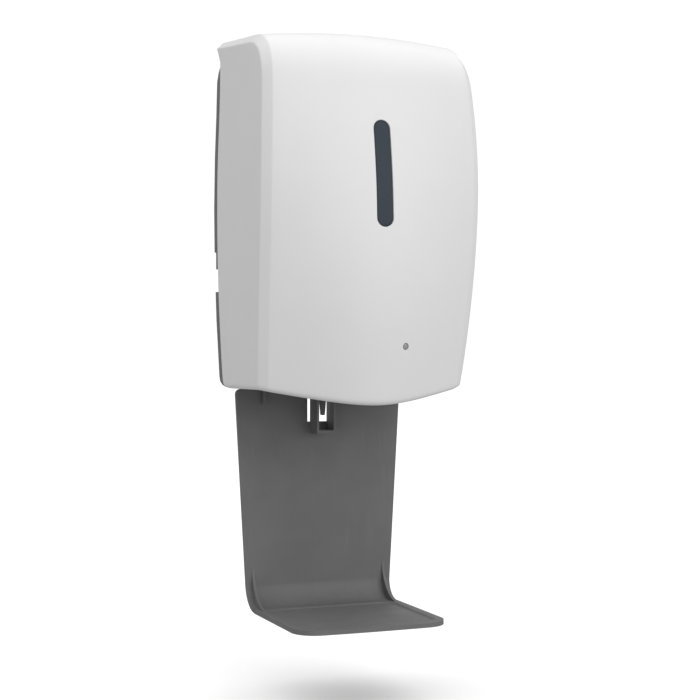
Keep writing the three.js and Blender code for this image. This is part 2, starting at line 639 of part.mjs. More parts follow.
/** Meshing gears have a tooth of one against a gap of the other on the line of their centres. */
const halfPitch = (teeth) => Math.PI / teeth;

function pumpScrewPlaces() {
  return PUMP_SCREWS.map(({ centre, degrees, offset }) => {
    const angle = THREE.MathUtils.degToRad(degrees);
    return [centre.x + offset * Math.cos(angle), centre.z + offset * Math.sin(angle)];
  });
}

/** Two equal round ends joined by a straight waist, along Y. */
function oblong(radius, span) {
  const across = new THREE.Vector2(DIAGONAL, DIAGONAL).multiplyScalar(radius);
  const waist = [
    [DRIVE.x - across.x, DRIVE.z - across.y], [IDLER.x - across.x, IDLER.z - across.y],
    [IDLER.x + across.x, IDLER.z + across.y], [DRIVE.x + across.x, DRIVE.z + across.y]];
  return join(prism("y", waist, span),
    rod("y", radius, span, [DRIVE.x, DRIVE.z], 24),
    rod("y", radius, span, [IDLER.x, IDLER.z], 24));
}

function pumpChambers(span) {
  return join(
    rod("y", PUMP.cavity, span, [DRIVE.x, DRIVE.z], 24),
    rod("y", PUMP.cavity, span, [IDLER.x, IDLER.z], 24));
}

function pumpBody() {
  const outletZ = DRIVE.z - 7.5;
  let body = join(
    oblong(PUMP.radius, [PUMP.front, PUMP.back]),
    rod("z", OUTLET.radius, [-96, -78], [OUTLET.x, PUMP.mid], 16),
    rod("x", 3, [12, 26], [PUMP.mid, outletZ], 12));
  body = cut(body,
    pumpChambers([PUMP.front - 1, PUMP.cavityBack]),
    rod("y", 2.4, [-25, -20], [DRIVE.x, DRIVE.z], 14),
    rod("y", 2.4, [-25, -20], [IDLER.x, IDLER.z], 14),
    rod("z", 1.8, [-99, -77], [OUTLET.x, PUMP.mid], 10),
    rod("x", 1.8, [11, 29], [PUMP.mid, outletZ], 10));
  for (const place of pumpScrewPlaces()) body = cut(body, rod("y", 1.6, [-40, -10], place, 10));
  return body;
}

function pumpGasket() {
  let gasket = cut(oblong(PUMP.radius - 0.5, [-33.1, -32.3]), pumpChambers([-34, -32]));
  for (const place of pumpScrewPlaces()) gasket = cut(gasket, rod("y", 1.6, [-40, -10], place, 10));
  return gasket;
}

function pumpCover() {
  let cover = oblong(PUMP.radius, [-36.4, -33.4]);
  cover = cut(cover, rod("y", 2.5, [-40, -30], [DRIVE.x, DRIVE.z], 14));
  for (const place of pumpScrewPlaces()) cover = cut(cover, rod("y", 1.6, [-40, -10], place, 10));
  return cover;
}

function motor() {
  const can = rod("y", MOTOR.radius, [MOTOR.front, MOTOR.back], [MOTOR.x, MOTOR.z], 24)
    .intersect(block([0, 40], [-60, 0], [MOTOR.z - 7.7, MOTOR.z + 7.7]));
  const nose = rod("y", 3, [MOTOR.front - 1.2, MOTOR.front + 1], [MOTOR.x, MOTOR.z], 16);
  return cut(join(can, nose), rod("y", 1.4, [-45, -30], [MOTOR.x, MOTOR.z], 10));
}

/** A hose of round section along a path of points. */
function hose(points, outer, inner, steps) {
  const section = new THREE.Shape();
  section.absarc(0, 0, outer, 0, 2 * Math.PI);
  const hole = new THREE.Path();
  hole.absarc(0, 0, inner, 0, 2 * Math.PI);
  section.holes.push(hole);
  const path = new THREE.CatmullRomCurve3(points.map((p) => new THREE.Vector3(...p)));
  return toSolid(new THREE.ExtrudeGeometry(section, { steps, curveSegments: 5, extrudePath: path }));
}

const inletHose = () => hose([
  [OUTLET.x, PUMP.mid, -84], [OUTLET.x, PUMP.mid, -66], [OUTLET.x, PUMP.mid, -44],
], 5.8, 4.4, 3);

const outletHose = () => hose([
  [20, PUMP.mid, -99.5], [12, PUMP.mid, -99.5], [4, -28.4, -100], [-3, -33, -102.5],
  [-6, -42, -107.5], [-4, -51, -113], [-0.6, -57, -116.6], [0, -61, -117], [0, -67.5, -117],
], 4.2, 3.3, 16);

// ---------------------------------------------------------------- nozzle

function nozzle() {
  const spout = turned([
    [0, -110.6], [6.4, -110.6], [7, -111.4], [7, -124], [8.4, -124], [8.4, -125.2], [6.1, -125.2],
    [6.1, -130.4], [3.6, -132], [3.6, -135.4], [0, -135.4],
  ], [0, NOZZLE.y], 16);
  const barb = rod("y", 3, [NOZZLE.y + 5, -61], [0, NOZZLE.barbZ], 12);
  return cut(join(spout, barb),
    rod("z", 1.5, [-136, NOZZLE.barbZ], [0, NOZZLE.y], 10),
    rod("y", 1.5, [NOZZLE.y, -60], [0, NOZZLE.barbZ], 10));
}

/** The soft drip-stop pushed over the end of the nozzle. */
function nozzleValve() {
  return turned([
    [3.9, -132.6], [5.4, -132.6], [5.4, -135], [3.4, -138.4], [0.8, -138.4], [0.8, -135.7],
    [3.9, -135.7], [3.9, -132.6],
  ], [0, NOZZLE.y], 16);
}

// ---------------------------------------------------------------- drip tray

/** The bent sheet of the tray in side view: down the wall, round the bend, out along the shelf. */
function traySheetOutline() {
  const { thickness, shelfThickness, shelfTop, bendRadius, reach, top } = TRAY;
  const inner = new THREE.Vector2(-thickness - bendRadius, shelfTop + bendRadius);
  const arc = (radius, from, to) => [0, 1, 2, 3, 4, 5].map((i) => {
    const angle = THREE.MathUtils.lerp(from, to, i / 5);
    return [inner.x + radius * Math.cos(angle), inner.y + radius * Math.sin(angle)];
  });
  const underside = shelfTop - shelfThickness;
  return [
    [0, top], [-thickness, top],
    ...arc(bendRadius, 0, -Math.PI / 2),
    [-reach - 3, shelfTop], [-reach - 3, underside], [inner.x, underside],
    ...arc(bendRadius + thickness, -Math.PI / 2, 0).slice(1),
  ];
}

function trayFaceOutline() {
  const shape = new THREE.Shape();
  const { top, halfTop, halfBend, bendZ, halfShelf } = TRAY;
  shape.moveTo(halfShelf, -306);
  shape.lineTo(halfBend, bendZ);
  shape.lineTo(halfTop - 0.2, top - 4);
  shape.absarc(halfTop - 4.2, top - 4, 4, 0, Math.PI / 2);
  shape.absarc(-halfTop + 4.2, top - 4, 4, Math.PI / 2, Math.PI);
  shape.lineTo(-halfBend, bendZ);
  shape.lineTo(-halfShelf, -306);
  return shape;
}

/** The tray seen from above: full width at the wall, round corners and a bowed edge in front. */
function trayPlanOutline() {
  const { halfShelf, reach, corner } = TRAY;
  const points = [[75, 1], [75, -17], [halfShelf, -17.2]];
  const bow = (x) => -reach - 1.6 * (1 - (x / halfShelf) ** 2);
  for (let i = 0; i <= 5; i += 1) {
    const angle = (i / 5) * (Math.PI / 2);
    points.push([
      halfShelf - corner + corner * Math.cos(angle),
      bow(halfShelf - corner) + corner - corner * Math.sin(angle)]);
  }
  points.push([20, bow(20)], [0, bow(0)]);
  const left = points.slice(0, -1).map(([x, y]) => [-x, y]).reverse();
  return [...points, ...left];
}

/** A curved web in the corner of the tray; its back follows the bend, inside the sheet. */
function trayGusset(side) {
  const { from, to, radius } = GUSSET;
  const rooted = 1;
  const inner = { y: -TRAY.thickness - radius, z: TRAY.shelfTop + radius };
  const bend = { y: -TRAY.thickness - TRAY.bendRadius, z: TRAY.shelfTop + TRAY.bendRadius };
  const web = [[rooted - TRAY.thickness, inner.z]];
  for (let i = 0; i <= 6; i += 1) {
    const angle = -(i / 6) * (Math.PI / 2);
    const reach = TRAY.bendRadius + rooted;
    web.push([bend.y + reach * Math.cos(angle), bend.z + reach * Math.sin(angle)]);
  }
  web.push([inner.y, TRAY.shelfTop - rooted]);
  for (let i = 6; i >= 0; i -= 1) {
    const angle = -(i / 6) * (Math.PI / 2);
    web.push([inner.y + radius * Math.cos(angle), inner.z + radius * Math.sin(angle)]);
  }
  return prism("x", web, side > 0 ? [from, to] : [-to, -from]);
}

function dripTray() {
  const { thickness, shelfTop, halfShelf, reach } = TRAY;
  let tray = prism("x", traySheetOutline(), [-76, 76])
    .intersect(prism("y", trayFaceOutline(), [-140, 2]))
    .intersect(prism("z", trayPlanOutline(), [-310, -120]));
  const basin = roundedRectangle([-halfShelf + 7, halfShelf - 7], [-reach + 6.5, -25], 12);
  tray = cut(tray, prism("z", basin, [shelfTop - 1.2, shelfTop + 5]));
  const notch = block([-TRAY_NOTCH.halfWidth, TRAY_NOTCH.halfWidth], [-5, 2], [TRAY_NOTCH.bottom, -120]);
  tray = cut(tray, notch);
  const loop = cut(
    block([-STIRRUP.outer, STIRRUP.outer], [STIRRUP.front, -thickness + 1], [STIRRUP.bottom, STIRRUP.top]),
    block([-STIRRUP.inner, STIRRUP.inner], [STIRRUP.front - 1, 2], [STIRRUP.bottom + STIRRUP.bar, -130]),
    block([-20, 20], [-thickness, 2], [TRAY_NOTCH.bottom, -130]));
  tray = join(tray, loop);
  for (const side of [-1, 1]) {
    const middle = side * TAB.x;
    tray = join(tray,
      block([middle - TAB.halfWidth, middle + TAB.halfWidth], [-thickness - TAB.depth, -thickness + 0.5],
        [TAB.bottom, TRAY.top]),
      block([middle - TAB.halfWidth, middle + TAB.halfWidth], [-thickness - TAB.depth, -thickness - 0.2],
        [TRAY.top - 1, TAB.top]),
      trayGusset(side));
  }
  return tray;
}

// ---------------------------------------------------------------- materials

const material = (color, roughness, metalness = 0) => () => (
  new THREE.MeshStandardMaterial({ color, roughness, metalness, flatShading: true }));

const whitePlastic = material(0xe9eaeb, 0.42);
const greyPlastic = material(0x6f6f70, 0.62);
const smokedPlastic = material(0x39404a, 0.22);
const milkyPlastic = material(0xdfe3e4, 0.5);
const blackPlastic = material(0x222326, 0.5);
const rubber = material(0x2c2c2e, 0.8);
const clearHose = material(0xd9dcd8, 0.35);
const steel = material(0x9da1a6, 0.35, 1);
const nickel = material(0xc6c8ca, 0.25, 1);
const acetal = material(0xf0eee6, 0.45);
const boardGreen = material(0x1f5b3a, 0.55);
const cellWrap = material(0x3d6f9e, 0.4);
const diodeDark = material(0x1a1716, 0.2);
const diodeClear = material(0xb9bcc0, 0.25);

// ---------------------------------------------------------------- assembly

const dispenser = new THREE.Group();
const [fixed, cover, tray, mechanism] = Array.from({ length: 4 }, () => new THREE.Group());
dispenser.add(fixed, cover, tray, mechanism);

function place(group, name, solid, makeMaterial) {
  const mesh = new THREE.Mesh(toGeometry(solid), makeMaterial());
  mesh.name = name;
  group.add(mesh);
}

place(fixed, "back_plate", backPlate(), greyPlastic);
place(fixed, "lock_strike", lockStrike(), steel);
place(fixed, "strike_screw", strikeScrew(), steel);
place(fixed, "hinge_pin_left", hingePin(-1), steel);
place(fixed, "hinge_pin_right", hingePin(1), steel);
place(fixed, "reservoir", reservoir(), milkyPlastic);
place(fixed, "pump_chassis", pumpChassis(), greyPlastic);
place(fixed, "base_panel", basePanel(), greyPlastic);
place(fixed, "nozzle", nozzle(), whitePlastic);
place(fixed, "nozzle_valve", nozzleValve(), rubber);
place(fixed, "sensor_window", sensorWindow(), smokedPlastic);
place(fixed, "sensor_board", sensorBoard(), boardGreen);
place(fixed, "ir_emitter", sensorDiode(-6), diodeClear);
place(fixed, "ir_receiver", sensorDiode(6), diodeDark);
place(fixed, "indicator_board", indicatorBoard(), boardGreen);
place(fixed, "indicator_led", indicatorDiode(), diodeClear);
place(fixed, "battery_box", batteryBox(), blackPlastic);
for (let i = 0; i < 4; i += 1) place(fixed, `battery_${i + 1}`, cell(i), cellWrap);
place(fixed, "battery_contact_left", contactStrip(-59.5), nickel);
place(fixed, "battery_contact_right", contactStrip(-7.9), nickel);
place(fixed, "main_board", mainBoard(), boardGreen);
place(fixed, "board_connector", boardConnector(), milkyPlastic);
place(fixed, "power_switch_body", switchBody(), steel);
CHASSIS_SCREWS.forEach(([x, z], i) => {
  place(fixed, `chassis_screw_${i + 1}`, frontScrew(x, z, CHASSIS.back - 0.3, 8), steel);
});
BASE_SCREWS.forEach((spot, i) => place(fixed, `base_screw_${i + 1}`, baseScrew(spot), steel));

place(cover, "front_cover", frontCover(), whitePlastic);
place(cover, "viewing_window", viewingWindow(), smokedPlastic);
place(cover, "indicator_lens", indicatorLens(), diodeClear);
place(cover, "lock_barrel", lockBarrel(), nickel);
place(cover, "lock_nut", lockNut(), nickel);
place(cover, "lock_plug", lockPlug(), nickel);
place(cover, "lock_cam", lockCam(), steel);
place(cover, "cam_screw", camScrew(), steel);

place(tray, "drip_tray", dripTray(), greyPlastic);

const reductionTurn = THREE.MathUtils.degToRad(135);
place(mechanism, "reservoir_cap", reservoirCap(), greyPlastic);
place(mechanism, "cap_seal", capSeal(), rubber);
place(mechanism, "power_switch_slider", switchSlider(), blackPlastic);
place(mechanism, "pump_body", pumpBody(), acetal);
place(mechanism, "pump_gasket", pumpGasket(), rubber);
place(mechanism, "pump_cover", pumpCover(), acetal);
pumpScrewPlaces().forEach(([x, z], i) => {
  place(mechanism, `pump_screw_${i + 1}`, frontScrew(x, z, -36.7, 23.5, 2.4), steel);
});
place(mechanism, "motor", motor(), steel);
place(mechanism, "motor_shaft", rod("y", 1, [-46.5, -34], [MOTOR.x, MOTOR.z], 10), steel);
place(mechanism, "motor_pinion",
  gear(TEETH.pinion, GEAR_MODULE, MOTOR, [GEAR_SPAN[0] - 0.5, GEAR_SPAN[1] + 0.5], 1.3,
    reductionTurn + Math.PI + halfPitch(TEETH.pinion)), acetal);
place(mechanism, "reduction_gear",
  gear(TEETH.reduction, GEAR_MODULE, DRIVE, GEAR_SPAN, 2.3, reductionTurn), acetal);
place(mechanism, "drive_shaft", rod("y", 2, [-46.5, -21], [DRIVE.x, DRIVE.z], 14), steel);
place(mechanism, "pump_drive_gear",
  gear(TEETH.pump, PUMP_MODULE, DRIVE, [-31.8, -24], 2.3, THREE.MathUtils.degToRad(-45)), acetal);
place(mechanism, "pump_idler_gear",
  gear(TEETH.pump, PUMP_MODULE, IDLER, [-31.8, -24], 2.3,
    THREE.MathUtils.degToRad(135) + halfPitch(TEETH.pump)), acetal);
place(mechanism, "idler_shaft", rod("y", 2, [-31.8, -21], [IDLER.x, IDLER.z], 14), steel);
place(mechanism, "inlet_hose", inletHose(), clearHose);
place(mechanism, "outlet_hose", outletHose(), clearHose);

export default dispenser;
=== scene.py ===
"""A wall mounted touch-free soap dispenser: the looks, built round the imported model.

Shapes are worked out in millimetres in the frame of the model (X to the user's right, +Y into the
wall, Z up) and turned to metres when a mesh is made.
"""
import json
import math
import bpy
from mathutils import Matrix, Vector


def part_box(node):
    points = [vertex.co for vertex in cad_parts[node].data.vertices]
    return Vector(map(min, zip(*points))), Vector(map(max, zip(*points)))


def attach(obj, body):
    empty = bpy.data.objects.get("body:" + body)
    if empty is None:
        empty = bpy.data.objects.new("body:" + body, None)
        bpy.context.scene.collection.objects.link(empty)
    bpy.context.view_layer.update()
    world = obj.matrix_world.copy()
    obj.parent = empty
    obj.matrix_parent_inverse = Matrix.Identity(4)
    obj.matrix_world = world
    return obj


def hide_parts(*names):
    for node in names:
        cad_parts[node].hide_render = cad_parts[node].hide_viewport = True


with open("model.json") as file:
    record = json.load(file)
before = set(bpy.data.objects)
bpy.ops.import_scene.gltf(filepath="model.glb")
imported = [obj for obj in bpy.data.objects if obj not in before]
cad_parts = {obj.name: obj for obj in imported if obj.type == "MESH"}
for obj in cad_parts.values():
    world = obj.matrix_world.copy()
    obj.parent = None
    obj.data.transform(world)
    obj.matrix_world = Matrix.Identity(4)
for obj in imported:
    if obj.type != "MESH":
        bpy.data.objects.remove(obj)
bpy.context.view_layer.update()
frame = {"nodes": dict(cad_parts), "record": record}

from types import SimpleNamespace as Dims

import bmesh
import bpy
from mathutils import Vector
from mathutils.bvhtree import BVHTree

MM = 0.001

# ------------------------------------------------------------------ dimensions, in millimetres

BODY = Dims(bottom=-131, tip=127.3, half_width=84.4, waist=5, arch_above=1316, arch_below=1938,
            side_depth=111.2, bulge=20, forehead_radius=410, tuck_scale=0.0057, tuck_power=1.646,
            bevel=6.2, bevel_at_tip=5, crown_top=4.6, crown_high=11, crown_low=26, crown_from=90,
            crown_growth=185, soft_low=0.45, soft_high=1.6, rim_dip=3.4, rim_dip_reach=45,
            top_slope=math.radians(6), corner_from_z=88, corner_to_y=-73, corner_fullness=0.64, flare=3.5,
            flare_from=60)
# Shares of the way up the front, round the corner and back along the top.
WAY = Dims(front=0.62, corner=0.26, top=0.12, crown_fades=(0.5, 0.86))
WALL = 2.4
ARRIS = Dims(outside=1.2, inside=0.4)
RIM = Dims(radius=4.5, lip=4.9, thick_from=3, thick_to=9, fine_to=16)
SEAM = Dims(y=-7.5, top_z=115.5, bend=0.94, softness=0.35)
HINGE = Dims(y=-15.5, z=-123, corner=8, pin=2, pin_from=65.2, pin_to=79, ear=5.6, ear_from=73.5, bore_from=73)
SLOT = Dims(half_width=6.3, bottom=-15, top=61, flange=3.6, chamfer=0.35)
LAMP = Dims(x=19, z=-99, radius=2.4, chamfer=0.3)
LOCK = Dims(y=-22, barrel=6, plug=4, cam_z=109, seat_depth=3.4, boss=11, boss_depth=3.2, keyway=2.6)
RESERVOIR = Dims(half_x=66, half_y=39, y=-52, bottom=-37.2, top=92, corner=12, edge=6)
NECK = Dims(x=-35, y=-52, radius=19, top=101)
CAP = Dims(flutes=30, sides=120)
OUTLET = Dims(x=52, y=-27.7, radius=4, length=12.8)
NOZZLE = Dims(y=-76, barb_z=-117)
BOARD_FRONT = -21.6
TRAY = Dims(thickness=3, top=-132, half_top=68.2, half_bend=59.5, bend_z=-285, half_shelf=58.6,
            shelf_top=-298, shelf_thickness=3.4, bend_radius=16, reach=119, corner=18,
            top_corner=4, bow=1.6)
BASIN = Dims(side=7, front=6.5, back=-25, corner=12)
GUSSET = Dims(start=53, end=55, radius=30, rooted=1)
TAB = Dims(x=46, half_width=1.25, depth=3.4, top=-118, bottom=-144)
STIRRUP = Dims(outer=7.8, inner=6, front=-19, bottom=-166.7, bar=2.5, top=-140)
NOTCH = Dims(half_width=9.8, bottom=-158)
STUDIO = Dims(backdrop=1.05, ambient=0.51, floor_z=-358, floor_reach=9000, floor_bounce=0.45,
              floor_glow=0.18)
OVERHEAD = Dims(direction=(-0.01, -0.03, -1), strength=1.42, softness=90)
KEY = Dims(direction=(-0.28, 0.92, -0.18), strength=1.17, softness=60)
CAMERA = Dims(place=(-427.8, -1136.7, -92.65), look=(0.3715, 0.9284, 0), lens=79.9, sensor=36,
              shift_y=-0.0177)
SHARP = 33

BODY_OF = {n: body for body, members in frame["record"]["behaviour"]["bodies"].items() for n in members}
SLOT_OF = {part["node"]: part["material_slot"] for part in frame["record"]["subparts"]}


def lerp(a, b, share):
    return a + (b - a) * share


def smoothstep(value, low, high):
    share = min(max((value - low) / (high - low), 0), 1)
    return share * share * (3 - 2 * share)


def node_centre(node):
    """The middle of a node of the model, in millimetres."""
    low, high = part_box(node)
    return (low + high) / 2 / MM


# ------------------------------------------------------------------ meshes


def mesh_object(name, points, faces):
    """A mesh object from points in millimetres, with its doubles merged and its faces outward."""
    mesh = bpy.data.meshes.new(name)
    mesh.from_pydata([tuple(c * MM for c in p) for p in points], [], faces)
    obj = bpy.data.objects.new(name, mesh)
    bpy.context.scene.collection.objects.link(obj)
    cleaned(obj)
    return obj


def cleaned(obj, dissolve=0):
    """Merges doubles, turns the faces outward and dissolves flat regions into single faces."""
    bm = bmesh.new()
    bm.from_mesh(obj.data)
    bmesh.ops.remove_doubles(bm, verts=bm.verts, dist=1e-6)
    bmesh.ops.dissolve_degenerate(bm, dist=1e-7, edges=bm.edges)
    if dissolve:
        bmesh.ops.dissolve_limit(
            bm, angle_limit=math.radians(dissolve), verts=bm.verts, edges=bm.edges)
    bmesh.ops.recalc_face_normals(bm, faces=bm.faces)
    bm.to_mesh(obj.data)
    bm.free()


def applied(obj):
    """Bakes the object's modifiers into its mesh."""
    bpy.context.view_layer.update()
    graph = bpy.context.evaluated_depsgraph_get()
    mesh = bpy.data.meshes.new_from_object(obj.evaluated_get(graph))
    obj.modifiers.clear()
    obj.data = mesh


def combine(obj, other, operation):
    """A boolean of two solids; the second one is used up."""
    modifier = obj.modifiers.new("boolean", "BOOLEAN")
    modifier.operation = operation
    modifier.solver = "EXACT"
    modifier.object = other
    applied(obj)
    bpy.data.objects.remove(other)
    return obj


def cut(obj, *others):
    for other in others:
        combine(obj, other, "DIFFERENCE")
    return obj


def join(obj, *others):
    for other in others:
        combine(obj, other, "UNION")
    return obj


def softened(obj, width, segments=2):
    """Rounds the sharp edges; width is in millimetres."""
    modifier = obj.modifiers.new("bevel", "BEVEL")
    modifier.width = width * MM
    modifier.segments = segments
    modifier.limit_method = "ANGLE"
    modifier.angle_limit = math.radians(SHARP)
    modifier.miter_outer = "MITER_ARC"
    applied(obj)
    return obj


def detail(obj, body, slot, smooth=32, weighted=True):
    """Shades a piece, with its large faces kept flat, gives it its finish and rides it on a body."""
    obj.data.polygons.foreach_set("use_smooth", [True] * len(obj.data.polygons))
    obj.data.set_sharp_from_angle(angle=math.radians(smooth))
    if weighted:
        modifier = obj.modifiers.new("normals", "WEIGHTED_NORMAL")
        modifier.keep_sharp = True
        applied(obj)
    obj.data.materials.clear()
    obj.data.materials.append(FINISHES[slot])
    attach(obj, body)
    return obj


def finished(obj, nodes, smooth=32, weighted=True):
    """A finished piece that stands for nodes of the model."""
    detail(obj, BODY_OF[nodes[0]], SLOT_OF[nodes[0]], smooth, weighted)
    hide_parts(*nodes)
    return obj


def refined(node, width, segments=2):
    """A node of the model with its flat faces made whole and its edges rounded."""
    obj = bpy.data.objects.new(node + "_moulding", frame["nodes"][node].data.copy())
    bpy.context.scene.collection.objects.link(obj)
    cleaned(obj, dissolve=0.6)
    if width:
        softened(obj, width, segments)
    return finished(obj, [node])


# For each axis: the two across it, then the axis itself.
AXES = {"x": (1, 2, 0), "y": (0, 2, 1), "z": (0, 1, 2)}


def along(axis, a, b, c):
    """A point from two coordinates across an axis, in x, y, z order, and one along it."""
    point = [0, 0, 0]
    for place, value in zip(AXES[axis], (a, b, c)):
        point[place] = value
    return tuple(point)


def skin(name, rings, loop=False, strips=False):
    """A closed solid through rings of equally many points, capped at both ends unless it is a loop.

    A cap is one face, or strips of quads between the two sides of the ring if it isn't flat.
    """
    count = len(rings[0])
    points = [p for ring in rings for p in ring]
    faces = []
    for i in range(len(rings) if loop else len(rings) - 1):
        here = i * count
        there = ((i + 1) % len(rings)) * count
        for k in range(count):
            after = (k + 1) % count
            faces.append((here + k, here + after, there + after, there + k))
    for start in () if loop else (0, len(points) - count):
        if strips:
            faces += [(start + k, start + k + 1, start + count - 2 - k, start + count - 1 - k)
                      for k in range(count // 2 - 1)]
        else:
            faces.append(tuple(range(start, start + count)))
    return mesh_object(name, points, faces)


def prism(name, axis, outline, span):
    return skin(name, [[along(axis, a, b, c) for a, b in outline] for c in span])


def block(name, x, y, z):
    return prism(name, "z", [(x[0], y[0]), (x[1], y[0]), (x[1], y[1]), (x[0], y[1])], z)


def circle(a, b, radius, sides=48, turn=0.0):
    angles = [turn + 2 * math.pi * i / sides for i in range(sides)]
    return [(a + radius * math.cos(t), b + radius * math.sin(t)) for t in angles]


def rod(name, axis, centre, radius, span, sides=48):
    return prism(name, axis, circle(*centre, radius, sides), span)


def turned(name, axis, centre, profile, sides=48):
    """Turns a profile of (radius, place along the axis) round an axis; it ends on the axis or closes."""
    closed = profile[0] == profile[-1]
    steps = profile[:-1] if closed else profile
    rings = [[along(axis, a, b, place) for a, b in circle(*centre, max(radius, 1e-3), sides)]
             for radius, place in steps]
    return skin(name, rings, loop=closed)


def arc(a, b, radius, start, end, steps=12):
    """Points of an arc about (a, b), from one angle to another in degrees."""
    angles = [math.radians(lerp(start, end, i / steps)) for i in range(steps + 1)]
    return [(a + radius * math.cos(t), b + radius * math.sin(t)) for t in angles]


def rounded_rectangle(a0, a1, b0, b1, radius, steps=10):
    return (arc(a1 - radius, b1 - radius, radius, 0, 90, steps)
            + arc(a0 + radius, b1 - radius, radius, 90, 180, steps)
            + arc(a0 + radius, b0 + radius, radius, 180, 270, steps)
            + arc(a1 - radius, b0 + radius, radius, 270, 360, steps))


# ------------------------------------------------------------------ finishes


class Nodes:
    """Builds the node tree of a finish on the Principled shader."""

    def __init__(self, name):
        self.material = bpy.data.materials.new(name)
        self.material.use_nodes = True
        self.tree = self.material.node_tree
        self.shader = self.tree.nodes["Principled BSDF"]
        self.coordinates = self.add("ShaderNodeTexCoord").outputs["Object"]

    def add(self, kind, **settings):
        node = self.tree.nodes.new(kind)
        for name, value in settings.items():
            setattr(node, name, value)
        return node

    def link(self, output, target):
        self.tree.links.new(output, target)

    def noise(self, wavelength, octaves=2.0, stretch=(1, 1, 1)):
        """Noise of a wavelength in millimetres, 0 to 1, drawn out along an axis by stretch."""
        mapping = self.add("ShaderNodeMapping")
        mapping.inputs["Scale"].default_value = [1 / (wavelength * MM * s) for s in stretch]
        self.link(self.coordinates, mapping.inputs["Vector"])
        noise = self.add("ShaderNodeTexNoise")
        noise.inputs["Scale"].default_value = 1.0
        noise.inputs["Detail"].default_value = octaves
        self.link(mapping.outputs["Vector"], noise.inputs["Vector"])
        return noise.outputs["Fac"]

    def spread(self, factor, low, high, limits=(0.3, 0.7)):
        """Maps the middle of a noise's range onto low to high."""
        node = self.add("ShaderNodeMapRange")
        node.inputs["From Min"].default_value = limits[0]
        node.inputs["From Max"].default_value = limits[1]
        node.inputs["To Min"].default_value = low
        node.inputs["To Max"].default_value = high
        self.link(factor, node.inputs["Value"])
        return node.outputs["Result"]

    def blend(self, factor, dark, light):
        node = self.add("ShaderNodeMix", data_type="RGBA")
        for socket, value in (("A", dark), ("B", light)):
            target = next(s for s in node.inputs if s.name == socket and s.type == "RGBA")
            if isinstance(value, tuple):
                target.default_value = (*value, 1)
            else:
                self.link(value, target)
        self.link(factor, next(s for s in node.inputs if s.name == "Factor" and s.type == "VALUE"))
        return next(s for s in node.outputs if s.type == "RGBA")

    def bump(self, height, depth, under=None):
        """Relief of a depth in millimetres from a height of 0 to 1, laid over the relief under it."""
        node = self.add("ShaderNodeBump")
        node.inputs["Distance"].default_value = depth * MM
        node.inputs["Strength"].default_value = 1.0
        self.link(height, node.inputs["Height"])
        if under:
            self.link(under, node.inputs["Normal"])
        return node.outputs["Normal"]


def scaled(colour, share):
    return tuple(min(1.0, c * share) for c in colour)


def finish(slot, roughness, mottle=0.04, spread=0.05, grain=0.4, depth=0.01, stretch=(1, 1, 1),
           scuff=0.0, waviness=0.0, **sockets):
    """A moulded, rolled or coated finish: broad mottling, a fine grain, uneven gloss and light scuffs.

    grain is a wavelength and depth and waviness are heights, in millimetres. Other values go to the
    shader's sockets.
    """
    colour = tuple(RECORD_COLOURS[slot])
    nodes = Nodes(slot)
    tint = nodes.blend(
        nodes.spread(nodes.noise(38, 3), 0, 1), scaled(colour, 1 - mottle), scaled(colour, 1 + mottle))
    gloss = nodes.spread(nodes.noise(14, 4), roughness - spread, roughness + spread)
    if scuff:
        marks = nodes.spread(nodes.noise(5, 6, (1, 1, 7)), 0, scuff, limits=(0.58, 0.8))
        tint = nodes.blend(marks, tint, scaled(colour, 1.5))
    nodes.link(tint, nodes.shader.inputs["Base Color"])
    nodes.link(gloss, nodes.shader.inputs["Roughness"])
    relief = nodes.bump(nodes.noise(grain, 2, stretch), depth)
    if waviness:
        relief = nodes.bump(nodes.noise(22, 1), waviness, under=relief)
    nodes.link(relief, nodes.shader.inputs["Normal"])
    for name, value in sockets.items():
        nodes.shader.inputs[name.replace("_", " ")].default_value = value
    return nodes.material


